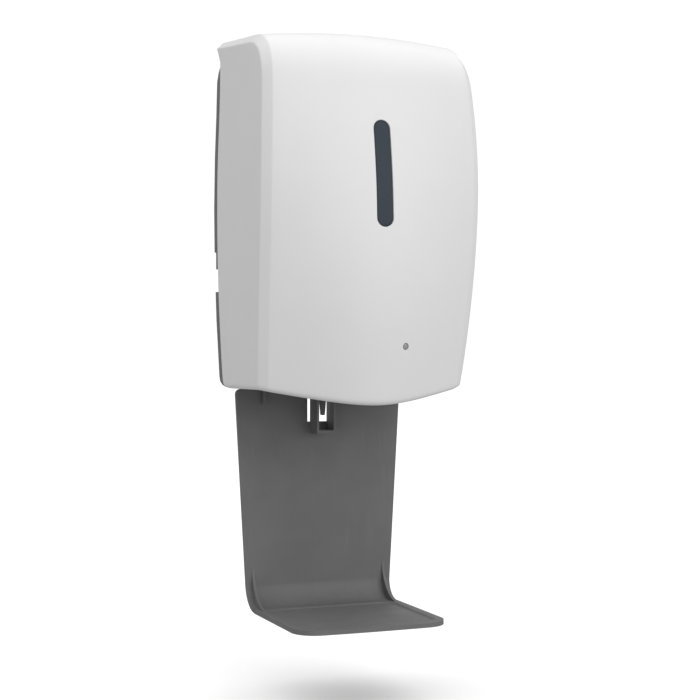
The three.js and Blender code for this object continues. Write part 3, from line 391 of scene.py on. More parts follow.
RECORD_COLOURS = {m["slot"]: m["base_color"] for m in frame["record"]["materials"]}
FINISHES = {
    "cover_white": finish("cover_white", 0.4, mottle=0.008, spread=0.04, grain=0.9, depth=0.006,
                          waviness=0.02),
    "nozzle_white": finish("nozzle_white", 0.5, mottle=0.015, grain=0.5),
    "grey_moulding": finish("grey_moulding", 0.56, mottle=0.05, spread=0.06, grain=0.35, depth=0.03,
                            scuff=0.18, waviness=0.015),
    "smoked_lens": finish("smoked_lens", 0.3, mottle=0.05, spread=0.03, grain=1.5, depth=0.002,
                          Specular_IOR_Level=0.12, Coat_Weight=0.05, Coat_Roughness=0.1),
    "milky_bottle": finish("milky_bottle", 0.42, mottle=0.02, grain=1.2, depth=0.01, waviness=0.05,
                           Subsurface_Weight=0.3, Subsurface_Scale=0.01, Transmission_Weight=0.15),
    "black_moulding": finish("black_moulding", 0.5, mottle=0.1, grain=0.35, depth=0.02, scuff=0.05),
    "seal_rubber": finish("seal_rubber", 0.75, mottle=0.1, grain=0.25, depth=0.02, Sheen_Weight=0.15),
    "clear_hose": finish("clear_hose", 0.3, mottle=0.03, grain=0.8, depth=0.01, Transmission_Weight=0.4),
    "zinc_steel": finish("zinc_steel", 0.36, mottle=0.08, spread=0.1, grain=0.3, depth=0.006,
                         stretch=(1, 6, 1), scuff=0.1, Metallic=1.0),
    "nickel": finish("nickel", 0.22, mottle=0.04, spread=0.08, grain=0.3, depth=0.003, Metallic=1.0),
    "acetal_white": finish("acetal_white", 0.45, mottle=0.03, grain=0.5, depth=0.01, Subsurface_Weight=0.1,
                           Subsurface_Scale=0.002),
    "circuit_board": finish("circuit_board", 0.4, mottle=0.15, spread=0.08, grain=0.9, depth=0.02,
                            Coat_Weight=0.3),
    "cell_wrap": finish("cell_wrap", 0.32, mottle=0.05, grain=2.0, depth=0.01, Coat_Weight=0.4),
    "dark_diode": finish("dark_diode", 0.15, mottle=0.1, grain=1.0, depth=0.002, Coat_Weight=0.5),
    "clear_diode": finish("clear_diode", 0.25, mottle=0.05, grain=0.6, depth=0.004, Coat_Weight=0.4),
}


# ------------------------------------------------------------------ surface of the body


def half_width(z, y=0):
    """Half the width of the side faces, which flare toward the wall near the top."""
    off = z - BODY.waist
    high = min(max((z - BODY.flare_from) / (BODY.tip - BODY.flare_from), 0), 1)
    flare = BODY.flare * high ** 2 * max(0, 1 + y / BODY.side_depth)
    arch = BODY.arch_above if off > 0 else BODY.arch_below
    return BODY.half_width - off * off / (2 * arch) + flare


def side_depth(z):
    """How far the side face reaches forward at a height below the top corner."""
    off = z - BODY.bulge
    if off > 0:
        return BODY.side_depth - off * off / (2 * BODY.forehead_radius)
    return BODY.side_depth - BODY.tuck_scale * (-off) ** BODY.tuck_power


def top_edge_z(y):
    return BODY.tip + y * math.tan(BODY.top_slope)


def station_places():
    """(y, z, share of the way, inset of the rolled rim) of the side face's outline, foot to wall."""
    front = BODY.corner_from_z - BODY.bottom
    places = []
    for angle in (82, 66, 50, 34, 17, 0):
        height = RIM.radius * (1 - math.sin(math.radians(angle)))
        places.append((height, RIM.radius * (1 - math.cos(math.radians(angle)))))
    places += [(lerp(RIM.radius, RIM.fine_to, i / 6), 0) for i in range(1, 7)]
    places += [(lerp(RIM.fine_to, front, i / 46), 0) for i in range(1, 47)]
    found = [(-side_depth(BODY.bottom + h), BODY.bottom + h, WAY.front * h / front, roll)
             for h, roll in places]
    y0, z0 = found[-1][:2]
    lean = (BODY.corner_from_z - BODY.bulge) / BODY.forehead_radius
    slope = math.tan(BODY.top_slope)
    y3, z3 = BODY.corner_to_y, top_edge_z(BODY.corner_to_y)
    reach = (z3 - z0 + slope * (y0 - y3)) / (1 - slope * lean)
    apex = (y0 + reach * lean, z0 + reach)
    y1, z1 = (lerp(a, b, BODY.corner_fullness) for a, b in zip((y0, z0), apex))
    y2, z2 = (lerp(a, b, BODY.corner_fullness) for a, b in zip((y3, z3), apex))
    for i in range(1, 21):
        t = i / 20
        weights = ((1 - t) ** 3, 3 * t * (1 - t) ** 2, 3 * t * t * (1 - t), t ** 3)
        y = sum(w * v for w, v in zip(weights, (y0, y1, y2, y3)))
        z = sum(w * v for w, v in zip(weights, (z0, z1, z2, z3)))
        found.append((y, z, WAY.front + WAY.corner * t, 0))
    for i in range(1, 23):
        y = lerp(BODY.corner_to_y, 0, i / 22)
        found.append((y, top_edge_z(y), WAY.front + WAY.corner + WAY.top * i / 22, 0))
    return found


def stations():
    """The stations of the side face's outline, each with its outward normal (ny, nz)."""
    places = station_places()
    found = []
    for i, (y, z, share, roll) in enumerate(places):
        before = places[max(i - 1, 0)]
        after = places[min(i + 1, len(places) - 1)]
        tangent = Vector((after[0] - before[0], after[1] - before[1])).normalized()
        found.append(Dims(y=y, z=z, along=share, roll=roll, ny=-tangent.y, nz=tangent.x))
    return found


def prow(u, z):
    """The cross curve of the front: 0 at the side edges, 1 on the centreline."""
    share = (min(max(z, BODY.bottom), BODY.crown_from) - BODY.bottom) / (BODY.crown_from - BODY.bottom)
    softness = lerp(BODY.soft_low, BODY.soft_high, share)
    return 1 - (math.hypot(u, softness) - softness) / (math.hypot(1, softness) - softness)


def seam_place(share, inset):
    """(y, z) of the seam for a station, round the hinge at the foot and slanting to the wall on top."""
    if share > SEAM.bend:
        part = (share - SEAM.bend) / (1 - SEAM.bend)
        return lerp(SEAM.y, 0, part), lerp(SEAM.top_z, BODY.tip - inset, part)
    z = lerp(BODY.bottom, SEAM.top_z, share / SEAM.bend)
    below = min(max(HINGE.z - z, 0), HINGE.corner)
    return HINGE.y + math.sqrt(HINGE.corner ** 2 - below ** 2), z


def toward(point, target, distance):
    """A point moved toward another, but never as far as half of the way."""
    most = 0.45
    gap = target - point
    if gap.length < 1e-9:
        return point.copy()
    return point + gap * min(distance / gap.length, most)


def rounded_corner(before, corner, after, radius, steps=4):
    """A soft corner between two neighbours, as points of a quadratic curve."""
    start, end = toward(corner, before, radius), toward(corner, after, radius)
    found = []
    for i in range(steps + 1):
        t = i / steps
        found.append(start * (1 - t) ** 2 + corner * 2 * t * (1 - t) + end * t * t)
    return found


def half_rib(station, inset, radius, seam_inset):
    """Half a rib of the body, from the centreline round the bevel to the seam on the right."""
    on_top = smoothstep(station.along, *WAY.crown_fades)
    low = smoothstep(BODY.crown_from - station.z, 0, BODY.crown_growth)
    crown = lerp(lerp(BODY.crown_high, BODY.crown_low, low), BODY.crown_top, on_top)
    bevel = lerp(
        BODY.bevel, BODY.bevel_at_tip, smoothstep(station.along, WAY.front + WAY.corner, 1))
    near_rim = max(0, 1 - (station.z - BODY.bottom) / BODY.rim_dip_reach)
    half = half_width(station.z, station.y) - inset
    y0, z0 = station.y - inset * station.ny, station.z - inset * station.nz

    def front(u):
        rise = prow(u, station.z)
        lift = bevel + crown * rise
        dip = BODY.rim_dip * near_rim * rise
        return Vector((u * (half - bevel), y0 + lift * station.ny, z0 + lift * station.nz - dip))

    seam_y, seam_z = seam_place(station.along, inset)
    side = []
    for i in range(10, -1, -1):
        share = i / 10
        y, z = lerp(seam_y, y0, share), lerp(seam_z, z0, share)
        side.append(Vector((half_width(z, y) - inset, y, z)))
    side[0].x = half
    side[-1].x -= seam_inset
    edge = front(1)
    last = 1 - radius / (half - bevel)
    across = [front(last * i / 22) for i in range(22)]
    outer = rounded_corner(front(last), edge, side[0], radius)
    inner = rounded_corner(edge, side[0], side[1], radius)
    before_seam = toward(side[-1], side[-2], SEAM.softness)
    before_seam.x = side[-1].x + seam_inset * 0.8
    flat = [outer[-1].lerp(inner[0], share) for share in (0.33, 0.67)]
    points = across + outer + flat + inner + side[1:-1] + [before_seam, side[-1]]
    for p in points:
        p.y = min(p.y, 0)
    return points


def shell_grid(insets, radius, seam_inset):
    """Ribs of a surface of the body, each from the left seam to the right one."""
    grid = []
    for station, inset in zip(stations(), insets):
        half = half_rib(station, inset, radius, seam_inset)
        mirrored = [Vector((-p.x, p.y, p.z)) for p in half[:0:-1]]
        grid.append(mirrored + half)
    return grid


def grid_faces(rows, columns, start=0, flip=False):
    faces = []
    for i in range(rows - 1):
        for k in range(columns - 1):
            a = start + i * columns + k
            face = (a, a + 1, a + columns + 1, a + columns)
            faces.append(face[::-1] if flip else face)
    return faces


def boundary(rows, columns, start=0):
    """The indices round the edge of a grid, in order."""
    first = [start + k for k in range(columns)]
    right = [start + i * columns + columns - 1 for i in range(1, rows)]
    last = [start + (rows - 1) * columns + k for k in range(columns - 2, -1, -1)]
    left = [start + i * columns for i in range(rows - 2, 0, -1)]
    return first + right + last + left


def cover_shell():
    """The moulded shell of the cover, and the tree of its outer surface in millimetres."""
    places = stations()
    outer = shell_grid([s.roll for s in places], ARRIS.outside, SEAM.softness)
    inner_insets = []
    for s in places:
        height = s.z - BODY.bottom if s.along < WAY.front else RIM.thick_to
        inner_insets.append(lerp(RIM.lip, WALL, smoothstep(height, RIM.thick_from, RIM.thick_to)))
    inner = shell_grid(inner_insets, ARRIS.inside, 0)
    rows, columns = len(outer), len(outer[0])
    points = [p for grid in (outer, inner) for row in grid for p in row]
    faces = grid_faces(rows, columns) + grid_faces(rows, columns, rows * columns, flip=True)
    edges = list(zip(boundary(rows, columns), boundary(rows, columns, rows * columns)))
    for (a, b), (c, d) in zip(edges, edges[1:] + edges[:1]):
        faces.append((a, b, d, c))
    tree = BVHTree.FromPolygons(points, grid_faces(rows, columns))
    return mesh_object("cover_shell", points, faces), tree


def surface_y(x, z):
    """Depth of the outer surface of the front at a place seen from the front."""
    return COVER_TREE.ray_cast(Vector((x, -400, z)), Vector((0, 1, 0)))[0].y


def surface_z(x, y):
    """Height of the outer surface of the top above a place."""
    return COVER_TREE.ray_cast(Vector((x, y, 400)), Vector((0, 0, -1)))[0].z


def stadium(x, bottom, top, radius, steps=24):
    """An upright slot's outline about x, between the centres of its round ends, from its top on."""
    rise = [lerp(bottom, top, i / steps) for i in range(1, steps)]
    left = [(x - radius, z) for z in reversed(rise)]
    right = [(x + radius, z) for z in rise]
    upper, lower = arc(x, top, radius, 0, 180, steps), arc(x, bottom, radius, 180, 360, steps)
    return upper[steps // 2:] + left + lower + right + upper[:steps // 2]


def pressed_in(name, outline, rings):
    """A solid whose rings lie under the front's surface: outline(grow) at a depth for each ring."""
    def ring(grow, depth):
        return [(x, surface_y(x, z) + depth, z) for x, z in outline(grow)]
    return skin(name, [ring(*step) for step in rings], strips=True)


def slot_outline(grow):
    radius = SLOT.half_width
    return stadium(0, SLOT.bottom + radius, SLOT.top - radius, radius + grow)


def lamp_outline(grow):
    return circle(LAMP.x, LAMP.z, LAMP.radius + grow, 40)


def hole(name, outline, chamfer):
    """A cutter right through the front, flared by a chamfer where it meets the surface."""
    return pressed_in(name, outline, [
        (chamfer + 0.5, -0.5), (chamfer * 0.35, chamfer * 0.3), (0, chamfer), (0, 9)])


# ------------------------------------------------------------------ cover and its fittings


def lock_seat_z():
    """Height of the sunk seat that the lock's flange rests on."""
    top = top_edge_z(LOCK.y) + (BODY.bevel + BODY.crown_top) * math.cos(BODY.top_slope)
    return top - LOCK.seat_depth


def front_cover(shell):
    cut(shell, hole("slot", slot_outline, SLOT.chamfer), hole("lamp_hole", lamp_outline, LAMP.chamfer))
    for side in (-1, 1):
        span = sorted((side * HINGE.ear_from, side * HINGE.pin_to))
        ear = turned("ear", "x", (HINGE.y, HINGE.z), [
            (0, span[0]), (HINGE.ear, span[0]), (HINGE.ear, span[1]), (0, span[1])])
        join(shell, ear)
        cut(shell, rod("pin_hole", "x", (HINGE.y, HINGE.z), HINGE.pin + 0.4,
                       sorted((side * HINGE.bore_from, side * (HINGE.pin_to + 0.4)))))
    seat = lock_seat_z()
    boss_top = [(x, y, surface_z(x, y) - 0.8) for x, y in circle(0, LOCK.y, LOCK.boss)]
    boss = skin("boss", [[(x, y, seat - LOCK.boss_depth) for x, y, _ in boss_top], boss_top])
    join(shell, boss)
    recess = turned("recess", "z", (0, LOCK.y), [
        (0, seat), (8.5, seat), (8.5, seat + 1.4), (9.6, seat + 3), (9.6, seat + 20), (0, seat + 20)])
    cut(shell, recess, rod("barrel_hole", "z", (0, LOCK.y), LOCK.barrel + 0.4, (100, seat + 10)))
    return finished(shell, ["front_cover"], smooth=28, weighted=False)


def viewing_window():
    back = WALL + 2.0
    pane = pressed_in("window_pane", slot_outline, [
        (-6.3, 0.3), (-4.5, 0.31), (-2.4, 0.34), (-1.2, 0.4), (-0.6, 0.5), (-0.35, 0.65), (-0.25, 0.9),
        (-0.25, WALL + 0.5), (SLOT.flange - 0.2, WALL + 0.5), (SLOT.flange, WALL + 0.7),
        (SLOT.flange, back), (SLOT.flange - 0.2, back + 0.2), (-6.3, back + 0.2)])
    return finished(pane, ["viewing_window"], weighted=False)


def indicator_lens():
    lens = pressed_in("lamp_lens", lamp_outline, [
        (-2.3, -0.05), (-1.7, -0.02), (-1.0, 0.1), (-0.55, 0.32), (-0.35, 0.6), (-0.3, 0.9),
        (-0.3, 9.5), (-0.5, 9.8), (-2.3, 9.8)])
    return finished(lens, ["indicator_lens"], weighted=False)


def screw_head_recess(axis, centre, face, out, size=1.0):
    """The cross recess of a screw's head, opening toward out, as two tapered bars."""
    for turn in (0, 1):
        rings = []
        for depth, half in ((-0.3, 1.0), (1.1, 0.55)):
            long_half, short_half = 1.75 * half * size, 0.42 * half * size
            if turn:
                long_half, short_half = short_half, long_half
            a, b = centre
            outline = [(a - long_half, b - short_half), (a + long_half, b - short_half),
                       (a + long_half, b + short_half), (a - long_half, b + short_half)]
            rings.append([along(axis, p, q, face - out * depth) for p, q in outline])
        yield skin("recess", rings)


def pan_screw(node, axis, out, head=3.0, shank=1.3):
    """A pan-head screw in place of a node; out is the side of the axis that its head faces."""
    low, high = (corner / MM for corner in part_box(node))
    centre = node_centre(node)
    place = AXES[axis]
    face = (high if out > 0 else low)[place[2]]
    tip = (low if out > 0 else high)[place[2]]
    at = (centre[place[0]], centre[place[1]])
    profile = [(0, face), (head * 0.55, face)]
    profile += [(head * f, face - out * d) for f, d in ((0.75, 0.12), (0.9, 0.42), (0.98, 0.9), (1, 1.3))]
    profile += [(head, face - out * 2), (shank, face - out * 2)]
    turns = int((abs(face - tip) - 2.6) / 0.8)
    for i in range(turns):
        start = face - out * (2.1 + 0.8 * i)
        profile += [(shank, start), (shank * 0.8, start - out * 0.4)]
    profile += [(shank * 0.8, tip + out * 0.5), (shank * 0.4, tip), (0, tip)]
    obj = turned(node + "_turned", axis, at, profile, 32)
    cut(obj, *screw_head_recess(axis, at, face, out, head / 3))
    return finished(obj, [node])


def lock_parts():
    seat = lock_seat_z()
    top, foot = seat + 1.8, LOCK.cam_z + 3.4
    barrel = turned("lock_barrel_turned", "z", (0, LOCK.y), [
        (4.3, top - 0.3), (4.6, top), (7.2, top), (7.7, top - 0.2), (8, top - 0.7), (8, seat + 0.3),
        (LOCK.barrel, seat + 0.3), (LOCK.barrel, foot + 0.5), (LOCK.barrel - 0.5, foot), (4.3, foot),
        (4.3, top - 0.3)], 64)
    finished(barrel, ["lock_barrel"])
    plug = turned("lock_plug_turned", "z", (0, LOCK.y), [
        (0, top), (LOCK.plug - 0.3, top), (LOCK.plug, top - 0.3), (LOCK.plug, LOCK.cam_z + 2.3),
        (1.7, LOCK.cam_z + 2.3),
        (1.7, LOCK.cam_z + 9), (0, LOCK.cam_z + 9)], 48)
    keyway_y = (LOCK.y - LOCK.keyway, LOCK.y + LOCK.keyway)
    cut(plug, block("keyway", (-0.6, 0.6), keyway_y, (top - 6, top + 1)))
    finished(plug, ["lock_plug"])
    refined("lock_nut", 0.5)
    refined("lock_cam", 0.25)
    pan_screw("cam_screw", "z", -1, head=3.2)


# ------------------------------------------------------------------ drip tray


def tray_sheet():
    """The bent sheet in side view, made of its drop, its bend and its shelf."""
    t, under = TRAY.thickness, TRAY.shelf_top - TRAY.shelf_thickness
    y, z = -t - TRAY.bend_radius, TRAY.shelf_top + TRAY.bend_radius
    inside = arc(y, z, TRAY.bend_radius, 0, -90, 20)
    outside = arc(y, z, TRAY.bend_radius + t, -90, 0, 20)
    outline = [(0, TRAY.top), (-t, TRAY.top), *inside, (-TRAY.reach - 3, TRAY.shelf_top),
               (-TRAY.reach - 3, under), (y, under), *outside[1:]]
    return prism("tray_sheet", "x", outline, (-76, 76))


def tray_face():
    """The tray's outline from the front: it narrows downward and has round top corners."""
    radius, foot = TRAY.top_corner, TRAY.shelf_top - 8
    x, z = TRAY.half_top - radius - 0.2, TRAY.top - radius
    right = [(TRAY.half_shelf, foot), (TRAY.half_bend, TRAY.bend_z)]
    corners = arc(x, z, radius, 0, 90, 10) + arc(-x, z, radius, 90, 180, 10)
    left = [(-TRAY.half_bend, TRAY.bend_z), (-TRAY.half_shelf, foot)]
    return prism("tray_face", "y", right + corners + left, (-140, 2))


def tray_plan():
    """The tray's outline from above: full width at the wall, round corners and a bowed front."""
    def bow(x):
        return -TRAY.reach - TRAY.bow * (1 - (x / TRAY.half_shelf) ** 2)
    inner_x = TRAY.half_shelf - TRAY.corner
    right = [(75, 1), (75, -17), (TRAY.half_shelf, -17.2)]
    right += arc(inner_x, bow(inner_x) + TRAY.corner, TRAY.corner, 0, -90, 20)
    right += [(x, bow(x)) for x in (32, 24, 16, 8, 0)]
    return prism("tray_plan", "z", right + [(-x, y) for x, y in right[-2::-1]], (-310, -120))


def tray_basin():
    """The shallow basin of the shelf, with a rounded brim and a rounded foot."""
    rings = []
    for grow, depth in ((2.0, -1.0), (2.0, 0.0), (1.2, 0.07), (0.5, 0.28), (0, 0.6), (-0.5, 0.92),
                        (-1.2, 1.13), (-2.0, 1.2)):
        outline = rounded_rectangle(
            -TRAY.half_shelf + BASIN.side - grow, TRAY.half_shelf - BASIN.side + grow,
            -TRAY.reach + BASIN.front - grow, BASIN.back + grow, BASIN.corner + grow)
        rings.append([(x, y, TRAY.shelf_top - depth) for x, y in outline])
    return skin("tray_basin", rings)


def tray_gusset(side):
    """A curved web in the corner of the tray; its back follows the bend, inside the sheet."""
    rooted = GUSSET.rooted
    y, z = -TRAY.thickness - GUSSET.radius, TRAY.shelf_top + GUSSET.radius
    bend_y, bend_z = -TRAY.thickness - TRAY.bend_radius, TRAY.shelf_top + TRAY.bend_radius
    web = [(rooted - TRAY.thickness, z)]
    web += arc(bend_y, bend_z, TRAY.bend_radius + rooted, 0, -90, 20)
    web += [(y, TRAY.shelf_top - rooted)] + arc(y, z, GUSSET.radius, -90, 0, 20)
    return prism("gusset", "x", web, sorted((side * GUSSET.start, side * GUSSET.end)))


def drip_tray():
    t = TRAY.thickness
    tray = tray_sheet()
    combine(tray, tray_face(), "INTERSECT")
    combine(tray, tray_plan(), "INTERSECT")
    cut(tray, tray_basin())
    cut(tray, block("notch", (-NOTCH.half_width, NOTCH.half_width), (-5, 2), (NOTCH.bottom, -120)))
    loop = block("loop", (-STIRRUP.outer, STIRRUP.outer), (STIRRUP.front, 1 - t),
                 (STIRRUP.bottom, STIRRUP.top))
    cut(loop,
        block("eye", (-STIRRUP.inner, STIRRUP.inner), (STIRRUP.front - 1, 2),
              (STIRRUP.bottom + STIRRUP.bar, -130)),
        block("back", (-20, 20), (-t, 2), (NOTCH.bottom, -130)))
    join(tray, loop)
    for side in (-1, 1):
        low, high = side * TAB.x - TAB.half_width, side * TAB.x + TAB.half_width
        front = -t - TAB.depth
        outline = [(0.5 - t, TAB.bottom), (0.5 - t, TRAY.top), (-t - 0.2, TRAY.top), (-t - 0.2, TAB.top),
                   (front, TAB.top), (front, TAB.bottom)]
        join(tray, prism("tab", "x", outline, (low, high)), tray_gusset(side))
    cleaned(tray, dissolve=0.3)
    softened(tray, 0.45, 2)
    return finished(tray, ["drip_tray"], smooth=30)


# ------------------------------------------------------------------ reservoir and soap path


def reservoir():
    """The bottle, with its edges rounded above and below, and its neck and outlet."""
    r = RESERVOIR
    rings = []
    turns = [math.radians(a) for a in range(0, 91, 15)]
    low = [(r.edge * (1 - math.sin(a)), r.bottom + r.edge * (1 - math.cos(a))) for a in turns]
    high = [(inset, r.top + r.bottom - z) for inset, z in reversed(low)]
    for inset, z in low + high:
        outline = rounded_rectangle(-r.half_x + inset, r.half_x - inset, r.y - r.half_y + inset,
                                    r.y + r.half_y - inset, r.corner - inset * 0.8)
        rings.append([(x, y, z) for x, y in outline])
    bottle = skin("reservoir_bottle", rings)
    neck = turned("neck", "z", (NECK.x, NECK.y), [
        (0, r.top - 2), (NECK.radius + 1.2, r.top - 2), (NECK.radius + 0.5, r.top + 0.4),
        (NECK.radius, r.top + 1.4), (NECK.radius, NECK.top - 0.4), (NECK.radius - 0.4, NECK.top),
        (0, NECK.top)], 64)
    outlet_foot = r.bottom - OUTLET.length
    outlet = turned("outlet", "z", (OUTLET.x, OUTLET.y), [
        (0, r.bottom + 3), (OUTLET.radius + 1, r.bottom + 0.5), (OUTLET.radius, r.bottom - 1),
        (OUTLET.radius, outlet_foot + 0.4), (OUTLET.radius - 0.4, outlet_foot),
        (2.4, outlet_foot), (2.4, r.bottom - 4), (0, r.bottom - 4)])
    join(bottle, neck, outlet)
    return finished(bottle, ["reservoir"])


def reservoir_cap():
    """The fluted filler cap and its seal."""
    def ring(radius, z, depth):
        found = []
        for i in range(CAP.sides):
            angle = 2 * math.pi * i / CAP.sides
            flute = depth * (0.5 + 0.5 * math.cos(CAP.flutes * angle))
            found.append((NECK.x + (radius - flute) * math.cos(angle),
                          NECK.y + (radius - flute) * math.sin(angle), z))
        return found

    profile = [(0.01, 105.2, 0), (14, 105.2, 0), (15.5, 105.5, 0), (16.5, 106, 0), (20.8, 106, 0),
               (21.8, 105.7, 0.1), (22.4, 105, 0.5), (22.5, 104, 0.9), (22.5, 94.4, 0.9),
               (22.5, 93.8, 0.2), (22.2, 93.4, 0), (19.5, 93.4, 0), (19.5, 103.4, 0), (0.01, 103.4, 0)]
    finished(skin("cap_fluted", [ring(*step) for step in profile]), ["reservoir_cap"])
    seal = turned("cap_seal_ring", "z", (NECK.x, NECK.y), [
        (15.5, 101.5), (15.7, 101.3), (18.6, 101.3), (18.8, 101.5), (18.8, 102.9), (18.6, 103.1),
        (15.7, 103.1), (15.5, 102.9), (15.5, 101.5)], 64)
    finished(seal, ["cap_seal"])


def hose(node, points, outer, inner, steps):
    """A soft hose along a smooth path of points."""
    path = smooth_path([Vector(p) for p in points], steps)
    rings = {"outer": [], "inner": []}
    side = Vector((0, 0, 1)).cross(path[1] - path[0])
    if side.length < 1e-6:
        side = Vector((1, 0, 0))
    for i, p in enumerate(path):
        tangent = (path[min(i + 1, len(path) - 1)] - path[max(i - 1, 0)]).normalized()
        side = (side - tangent * side.dot(tangent)).normalized()
        up = tangent.cross(side)
        for key, radius in (("outer", outer), ("inner", inner)):
            rings[key].append([p + side * (radius * math.cos(t)) + up * (radius * math.sin(t))
                               for t in (2 * math.pi * k / 24 for k in range(24))])
    obj = skin(node + "_swept", rings["outer"] + rings["inner"][::-1], loop=True)
    return finished(obj, [node])


def smooth_path(points, steps):
    """A Catmull-Rom curve through points, with even steps between each pair."""
    ends = [points[0] * 2 - points[1], *points, points[-1] * 2 - points[-2]]
    found = []
    for a, b, c, d in zip(ends, ends[1:], ends[2:], ends[3:]):
        for i in range(steps):
            t = i / steps
            found.append(0.5 * (2 * b + (c - a) * t + (2 * a - 5 * b + 4 * c - d) * t * t
                                + (3 * b - a - 3 * c + d) * t ** 3))
    return found + [points[-1]]


def soap_path():
    x, y = OUTLET.x, OUTLET.y
    hose("inlet_hose", [(x, y, -84), (x, y, -66), (x, y, -44)], 5.8, 4.4, 4)
    hose("outlet_hose", [
        (20, y, -99.5), (12, y, -99.5), (4, -28.4, -100), (-3, -33, -102.5), (-6, -42, -107.5),
        (-4, -51, -113), (-0.6, -57, -116.6), (0, -61, -117), (0, -67.5, -117)], 4.2, 3.3, 6)
    spout = turned("nozzle_turned", "z", (0, NOZZLE.y), [
        (0, -110.6), (6.1, -110.6), (6.6, -110.8), (7, -111.4), (7, -124), (8.1, -124), (8.4, -124.3),
        (8.4, -124.9), (8.1, -125.2), (6.1, -125.2), (6.1, -130.2), (5.7, -130.8), (3.8, -131.8),
        (3.6, -132.2), (3.6, -135.1), (3.3, -135.4), (1.5, -135.4), (1.5, -130), (0, -130)], 64)
    join(spout, turned("barb", "y", (0, NOZZLE.barb_z), [
        (0, -73), (3, -73), (3, -65.5), (3.25, -65.4), (2.8, -63.4), (3.1, -63.3), (2.5, -61), (0, -61)]))
    finished(spout, ["nozzle"])
    valve = turned("nozzle_valve_turned", "z", (0, NOZZLE.y), [
        (3.9, -132.6), (5.2, -132.6), (5.4, -132.8), (5.4, -135), (5, -136), (3.6, -138.2),
        (3.2, -138.4), (0.9, -138.4), (0.8, -138.3), (0.8, -135.7), (3.9, -135.7), (3.9, -132.6)], 48)
    finished(valve, ["nozzle_valve"])


# ------------------------------------------------------------------ drive and power


def motor():
    x, _, z = node_centre("motor_shaft")
    front, back = -38.5, -15
    can = turned("motor_can", "y", (x, z), [
        (0, back), (3.2, back), (3.2, back - 0.6), (9.2, back - 0.6), (10, back - 1.4),
        (10, front + 1), (9, front), (0, front)], 64)
    combine(can, block("flats", (0, 40), (-60, 0), (z - 7.7, z + 7.7)), "INTERSECT")
    join(can, turned("nose", "y", (x, z), [(0, front + 1), (3, front + 1), (3, front - 0.9),
                                           (2.7, front - 1.2), (0, front - 1.2)]))
    cut(can, rod("bore", "y", (x, z), 1.4, (front - 3, front + 4), 24))
    softened(can, 0.3)
    finished(can, ["motor"])


def cells():
    """Four AA cells with their sleeves, shoulders and buttons."""
    for i in range(1, 5):
        node = f"battery_{i}"
        low, high = (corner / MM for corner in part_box(node))
        y, z = (low.y + high.y) / 2, (low.z + high.z) / 2
        facing = 1 if i % 2 else -1
        foot, tip = (low.x, high.x) if facing > 0 else (high.x, low.x)
        profile = [(0, foot + facing * 0.3), (4.6, foot + facing * 0.3), (5, foot), (6.4, foot),
                   (7.0, foot + facing * 0.4), (7.1, foot + facing * 0.9),
                   (7.1, tip - facing * 1.9), (6.9, tip - facing * 1.3), (6.4, tip - facing * 1.2),
                   (4.6, tip - facing * 1.3), (2.7, tip - facing * 1.3), (2.7, tip - facing * 0.3),
                   (2.4, tip), (0, tip)]
        obj = finished(turned(node + "_cell", "x", (y, z), profile), [node])
        obj.data.materials.append(FINISHES["nickel"])
        for face in obj.data.polygons:
            place = face.center.x / MM
            if abs(place - foot) < 0.5 or abs(place - tip) < 1.6:
                face.material_index = 1


def drive():
    motor()
    for node, gap in (("motor_shaft", 0.2), ("drive_shaft", 0.3), ("idler_shaft", 0.3)):
        low, high = (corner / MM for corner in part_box(node))
        radius = (high.x - low.x) / 2
        centre = node_centre(node)
        finished(turned(node + "_turned", "y", (centre.x, centre.z), [
            (0, low.y), (radius - gap, low.y), (radius, low.y + gap), (radius, high.y - gap),
            (radius - gap, high.y), (0, high.y)], 32), [node])
    for node in ("motor_pinion", "reduction_gear", "pump_drive_gear", "pump_idler_gear"):
        refined(node, 0.12, 1)
    for node in ("pump_body", "pump_cover"):
        refined(node, 0.35)
    refined("pump_gasket", 0)


def hinge_pins():
    for side, node in ((-1, "hinge_pin_left"), (1, "hinge_pin_right")):
        near, far = side * HINGE.pin_from, side * HINGE.pin_to
        finished(turned(node + "_turned", "x", (HINGE.y, HINGE.z), [
            (0, near), (1.7, near), (2, near + side * 0.3), (2, far - side * 0.5),
            (1.5, far), (0, far)], 32), [node])


def diodes():
    for node in ("ir_emitter", "ir_receiver"):
        centre = node_centre(node)
        finished(turned(node + "_turned", "z", (centre.x, centre.y), [
            (0, -119.9), (2.9, -119.9), (3, -120), (3, -120.8), (2.5, -120.9), (2.5, -122.6),
            (2.35, -123.5), (1.9, -124.2), (1.1, -124.7), (0, -124.9)]), [node])
    finished(turned("indicator_led_turned", "y", (LAMP.x, LAMP.z), [
        (0, -107.3), (2.3, -107.3), (2.3, -110.2), (2.0, -111), (1.2, -111.5), (0, -111.6)]),
        ["indicator_led"])


